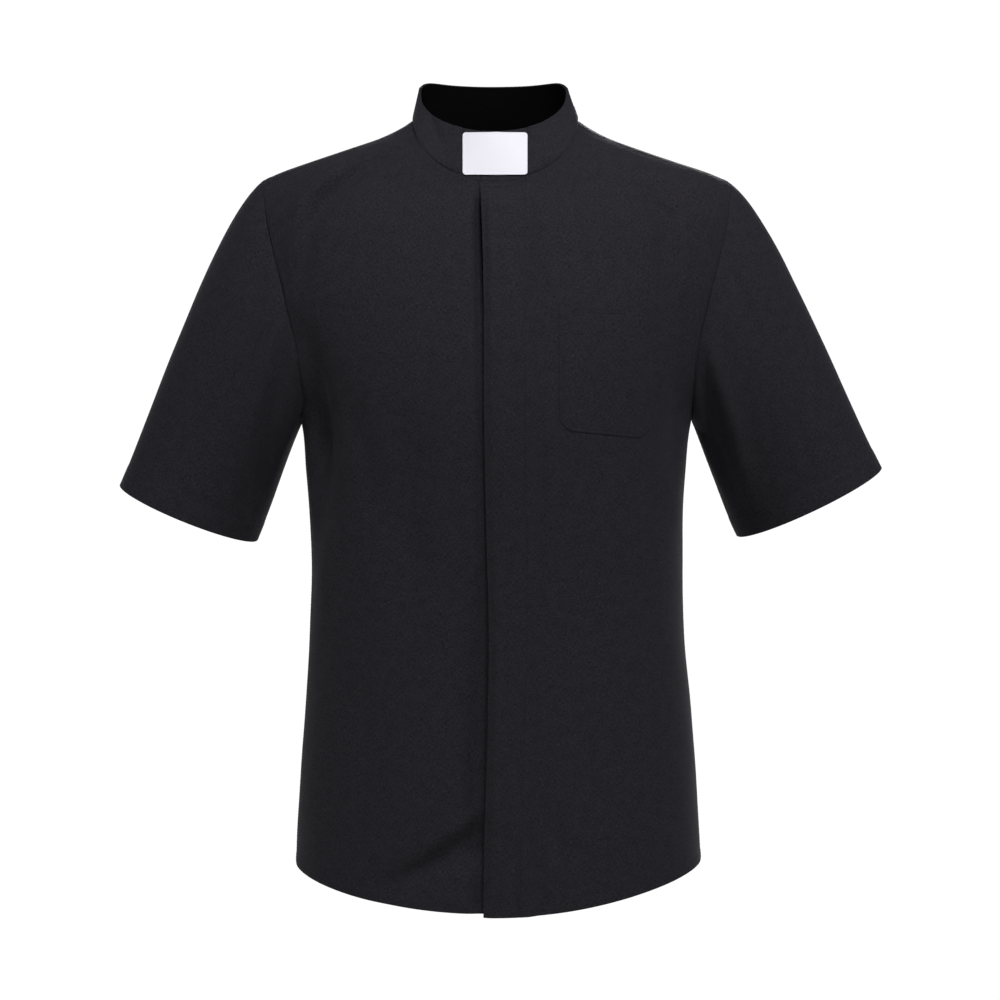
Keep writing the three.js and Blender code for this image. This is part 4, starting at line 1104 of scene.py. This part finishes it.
relief_pocket = (
    -0.2 * hump(edge_gap, 0.9) - 0.28 * hump(edge_gap - POCKET_STITCH, 0.9)
    - 0.5 * hump(run(points, 1) - 1.2, 1.2)
    + 0.08 * pucker(run(points, 0) + run(points, 1), 26.0) * np.exp(-edge_gap / 6)
    - 0.1 * hump(left_over(points, 0) - POCKET_TOP_HEM, 0.9)
    + drift(points, *BODY_SWELLS)
    + 0.3 * ease(0, 0.35, v) * np.sin(math.pi * u) ** 0.7 * ease(0.2, 0.9, v)
)
points = points + normals * relief_pocket[..., None]
pocket_grid = (points, normals)
pocket = shell("shirt_pocket", points, normals, shirting_and_shaded_inside)
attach(pocket, "root")
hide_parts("pocket")

# Stitching. Black thread sewn in single rows: hems, armholes, yoke, side of the fly, pocket,
# collar. Each stitch is a short raised float of thread.
STITCH = {"pitch": 3.0, "length": 2.3, "radius": 0.17}
STITCH_SIDES = 5
# Rings of a stitch from end to end: place along it, share of its radius and height.
STITCH_RINGS = ((-1, 0.45, -0.14), (-0.45, 1, 0.05), (0.45, 1, 0.05), (1, 0.45, -0.14))
# Distances of the rows from the edges that they follow.
HEM_STITCH = HEM_DEPTH - HEM_STITCH_INSIDE
CUFF_STITCH = SLEEVE_HEM - HEM_STITCH_INSIDE
ARMHOLE_STITCH = ARMHOLE_SEAM - SEAM_STITCH_INSIDE
YOKE_STITCH = NARROW_SEAM - SEAM_STITCH_INSIDE
thread = speckled(
    "black_thread", 0.5, 0.25, 1800, 2, ((0.0075, 0.0073, 0.0095, 1), (0.02, 0.019, 0.025, 1)),
)


def level_line(points, normals, field, value, axis):
    """Line where a field that grows along each column (axis 0) or row (axis 1) has a value."""
    if axis == 1:
        points, normals, field = points.swapaxes(0, 1), normals.swapaxes(0, 1), field.T
    if field[0, 0] > field[-1, 0]:
        points, normals, field = points[::-1], normals[::-1], field[::-1]
    k = np.clip((field < value).sum(0), 1, len(field) - 1)
    i = np.arange(field.shape[1])
    low, high = field[k - 1, i], field[k, i]
    t = np.clip((value - low) / np.maximum(high - low, 1e-9), 0, 1)[:, None]
    return mix(points[k - 1, i], points[k, i], t), unit(mix(normals[k - 1, i], normals[k, i], t))


def stitches_along(points, normals):
    """Points of every stitch of a row: stitch, ring and place round the ring in one index."""
    lengths = run(points[None], 1)[0]
    middles = (np.arange(int(lengths[-1] // STITCH["pitch"])) + 0.5) * STITCH["pitch"]

    def read(places, values):
        return np.stack([np.interp(places, lengths, values[:, axis]) for axis in range(3)], -1)

    centre = read(middles, points)
    way = unit(read(middles + 0.5, points) - read(middles - 0.5, points))
    out = unit(read(middles, normals))
    side = unit(np.cross(out, way))
    spots = []
    for share, thick, rise in STITCH_RINGS:
        for k in range(STITCH_SIDES):
            angle = k * 2 * math.pi / STITCH_SIDES
            spread = (side * math.cos(angle) + out * math.sin(angle)) * STITCH["radius"] * thick
            spots.append(centre + way * share * STITCH["length"] / 2 + out * rise + spread)
    return np.stack(spots, 1)


def stitching(name, lines):
    """All the stitches of some lines, as one piece."""
    stitches = np.concatenate([stitches_along(*line) for line in lines])
    count, size = stitches.shape[:2]
    first = np.arange(count)[:, None, None] * size
    k = np.arange(STITCH_SIDES)
    following = (k + 1) % STITCH_SIDES
    band = np.stack([k, following, following + STITCH_SIDES, k + STITCH_SIDES], 1)
    sides = np.concatenate([band + ring * STITCH_SIDES for ring in range(len(STITCH_RINGS) - 1)])
    ends = np.stack([k[::-1], k + size - STITCH_SIDES])
    faces = (first + sides).reshape(-1, 4).tolist() + (first + ends).reshape(-1, STITCH_SIDES).tolist()
    rows = smooth_piece(name, stitches.reshape(-1, 3) * MM, faces, (thread,))
    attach(rows, "root")


def rows_of(panel, low=None, top=None, first=None, last=None):
    """Stitched lines of a panel at distances from its lower, top, first and last edges."""
    edges = ((low, run, 0), (top, left_over, 0), (first, run, 1), (last, left_over, 1))
    return [
        level_line(*panel, from_edge(panel[0], axis), distance, axis)
        for distance, from_edge, axis in edges if distance is not None
    ]


fly_field = front_left_grid[0][..., 0] - fly["stitch"](front_left_grid[0][..., 2])
body_lines = (
    rows_of(front_right_grid, low=HEM_STITCH, first=ARMHOLE_STITCH)
    + rows_of(front_left_grid, low=HEM_STITCH, last=ARMHOLE_STITCH)
    + [level_line(*front_left_grid, fly_field, 0, 1)]
    + rows_of(back_grid, low=HEM_STITCH)
    + rows_of(yoke_grid, YOKE_STITCH, YOKE_STITCH, ARMHOLE_STITCH, ARMHOLE_STITCH)
)
stitching("shirt_body_stitching", body_lines)
sleeve_lines = [line for grid in sleeve_grids.values() for line in rows_of(grid, low=CUFF_STITCH)]
stitching("shirt_sleeve_stitching", sleeve_lines)
trim_lines = (
    rows_of(pocket_grid, POCKET_STITCH, POCKET_TOP_HEM, POCKET_STITCH, POCKET_STITCH)
    + rows_of(collar_grid, **COLLAR_STITCH)
)
stitching("shirt_trim_stitching", trim_lines)

# Studio: a small plain pale floor well below the hem, a pale room that is brightest behind the
# shirt and dim overhead, and four soft lights: high in front, at both sides and behind. The
# camera stands at the photograph's angle.
FLOOR_Z = -1.25
FLOOR_RADIUS = 1.7
FLOOR_SIDES = 96
floor_angles = [k * 2 * math.pi / FLOOR_SIDES for k in range(FLOOR_SIDES)]
rim = [(FLOOR_RADIUS * math.cos(a), FLOOR_RADIUS * math.sin(a), FLOOR_Z) for a in floor_angles]
floor_mesh = bpy.data.meshes.new("floor")
floor_mesh.from_pydata(rim, [], [tuple(range(FLOOR_SIDES))])
floor = bpy.data.objects.new("floor", floor_mesh)
bpy.context.scene.collection.objects.link(floor)
floor_paint = bpy.data.materials.new("floor_paint")
floor_paint.use_nodes = True
floor_shader = floor_paint.node_tree.nodes["Principled BSDF"]
settle(floor_shader, {"Base Color": (0.9, 0.9, 0.9, 1), "Roughness": 0.9})
floor_mesh.materials.append(floor_paint)

scene = bpy.context.scene
scene.view_settings.view_transform = "Standard"
world = bpy.data.worlds.new("room")
world.use_nodes = True
nodes, links = world.node_tree.nodes, world.node_tree.links
where = nodes.new("ShaderNodeTexCoord")
height = nodes.new("ShaderNodeSeparateXYZ")
links.new(where.outputs["Generated"], height.inputs[0])
shades = []
for axis, start, end, near, far in (("Z", 0.15, 0.34, 1, 0.12), ("Y", 0.4, 0.92, 0.24, 1.03)):
    ramp = nodes.new("ShaderNodeMapRange")
    settle(ramp, {"From Min": start, "From Max": end, "To Min": near, "To Max": far})
    links.new(height.outputs[axis], ramp.inputs["Value"])
    shades.append(ramp.outputs[0])
room = nodes.new("ShaderNodeMath")
room.operation = "MULTIPLY"
links.new(shades[0], room.inputs[0])
links.new(shades[1], room.inputs[1])
links.new(room.outputs[0], nodes["Background"].inputs["Strength"])
settle(nodes["Background"], {"Color": (1, 1, 1, 1)})
scene.world = world

# Soft lights: name, place and power. All are aimed at the middle of the shirt.
LIGHTS = (
    ("key", (0.4, -1.55, 1.85), 59),
    ("left", (-2.2, -1.1, 0.9), 11),
    ("right", (2.2, -1.2, 0.9), 9),
    ("back", (0.3, 2.5, 0.8), 54),
)
LIGHT_SIZE = 0.8
LIGHT_TARGET = np.array([0.003, 0, -0.37])
for name, place, power in LIGHTS:
    data = bpy.data.lights.new(name, "AREA")
    data.shape = "DISK"
    data.size = LIGHT_SIZE
    data.energy = power
    lamp = bpy.data.objects.new(name, data)
    lamp.location = place
    way = LIGHT_TARGET - np.array(place)
    yaw = math.atan2(-way[0], way[1])
    pitch = math.atan2(way[2], math.hypot(way[0], way[1]))
    lamp.rotation_euler = (math.pi / 2 + pitch, 0, yaw)
    scene.collection.objects.link(lamp)

camera_data = bpy.data.cameras.new("camera")
camera_data.sensor_width = 36
camera_data.lens = 110.2
camera = bpy.data.objects.new("camera", camera_data)
camera.location = (0.00294, -2.99715, -0.23860)
camera.rotation_euler = (math.radians(87.5), 0, 0)
scene.collection.objects.link(camera)
scene.camera = camera

bpy.context.view_layer.update()
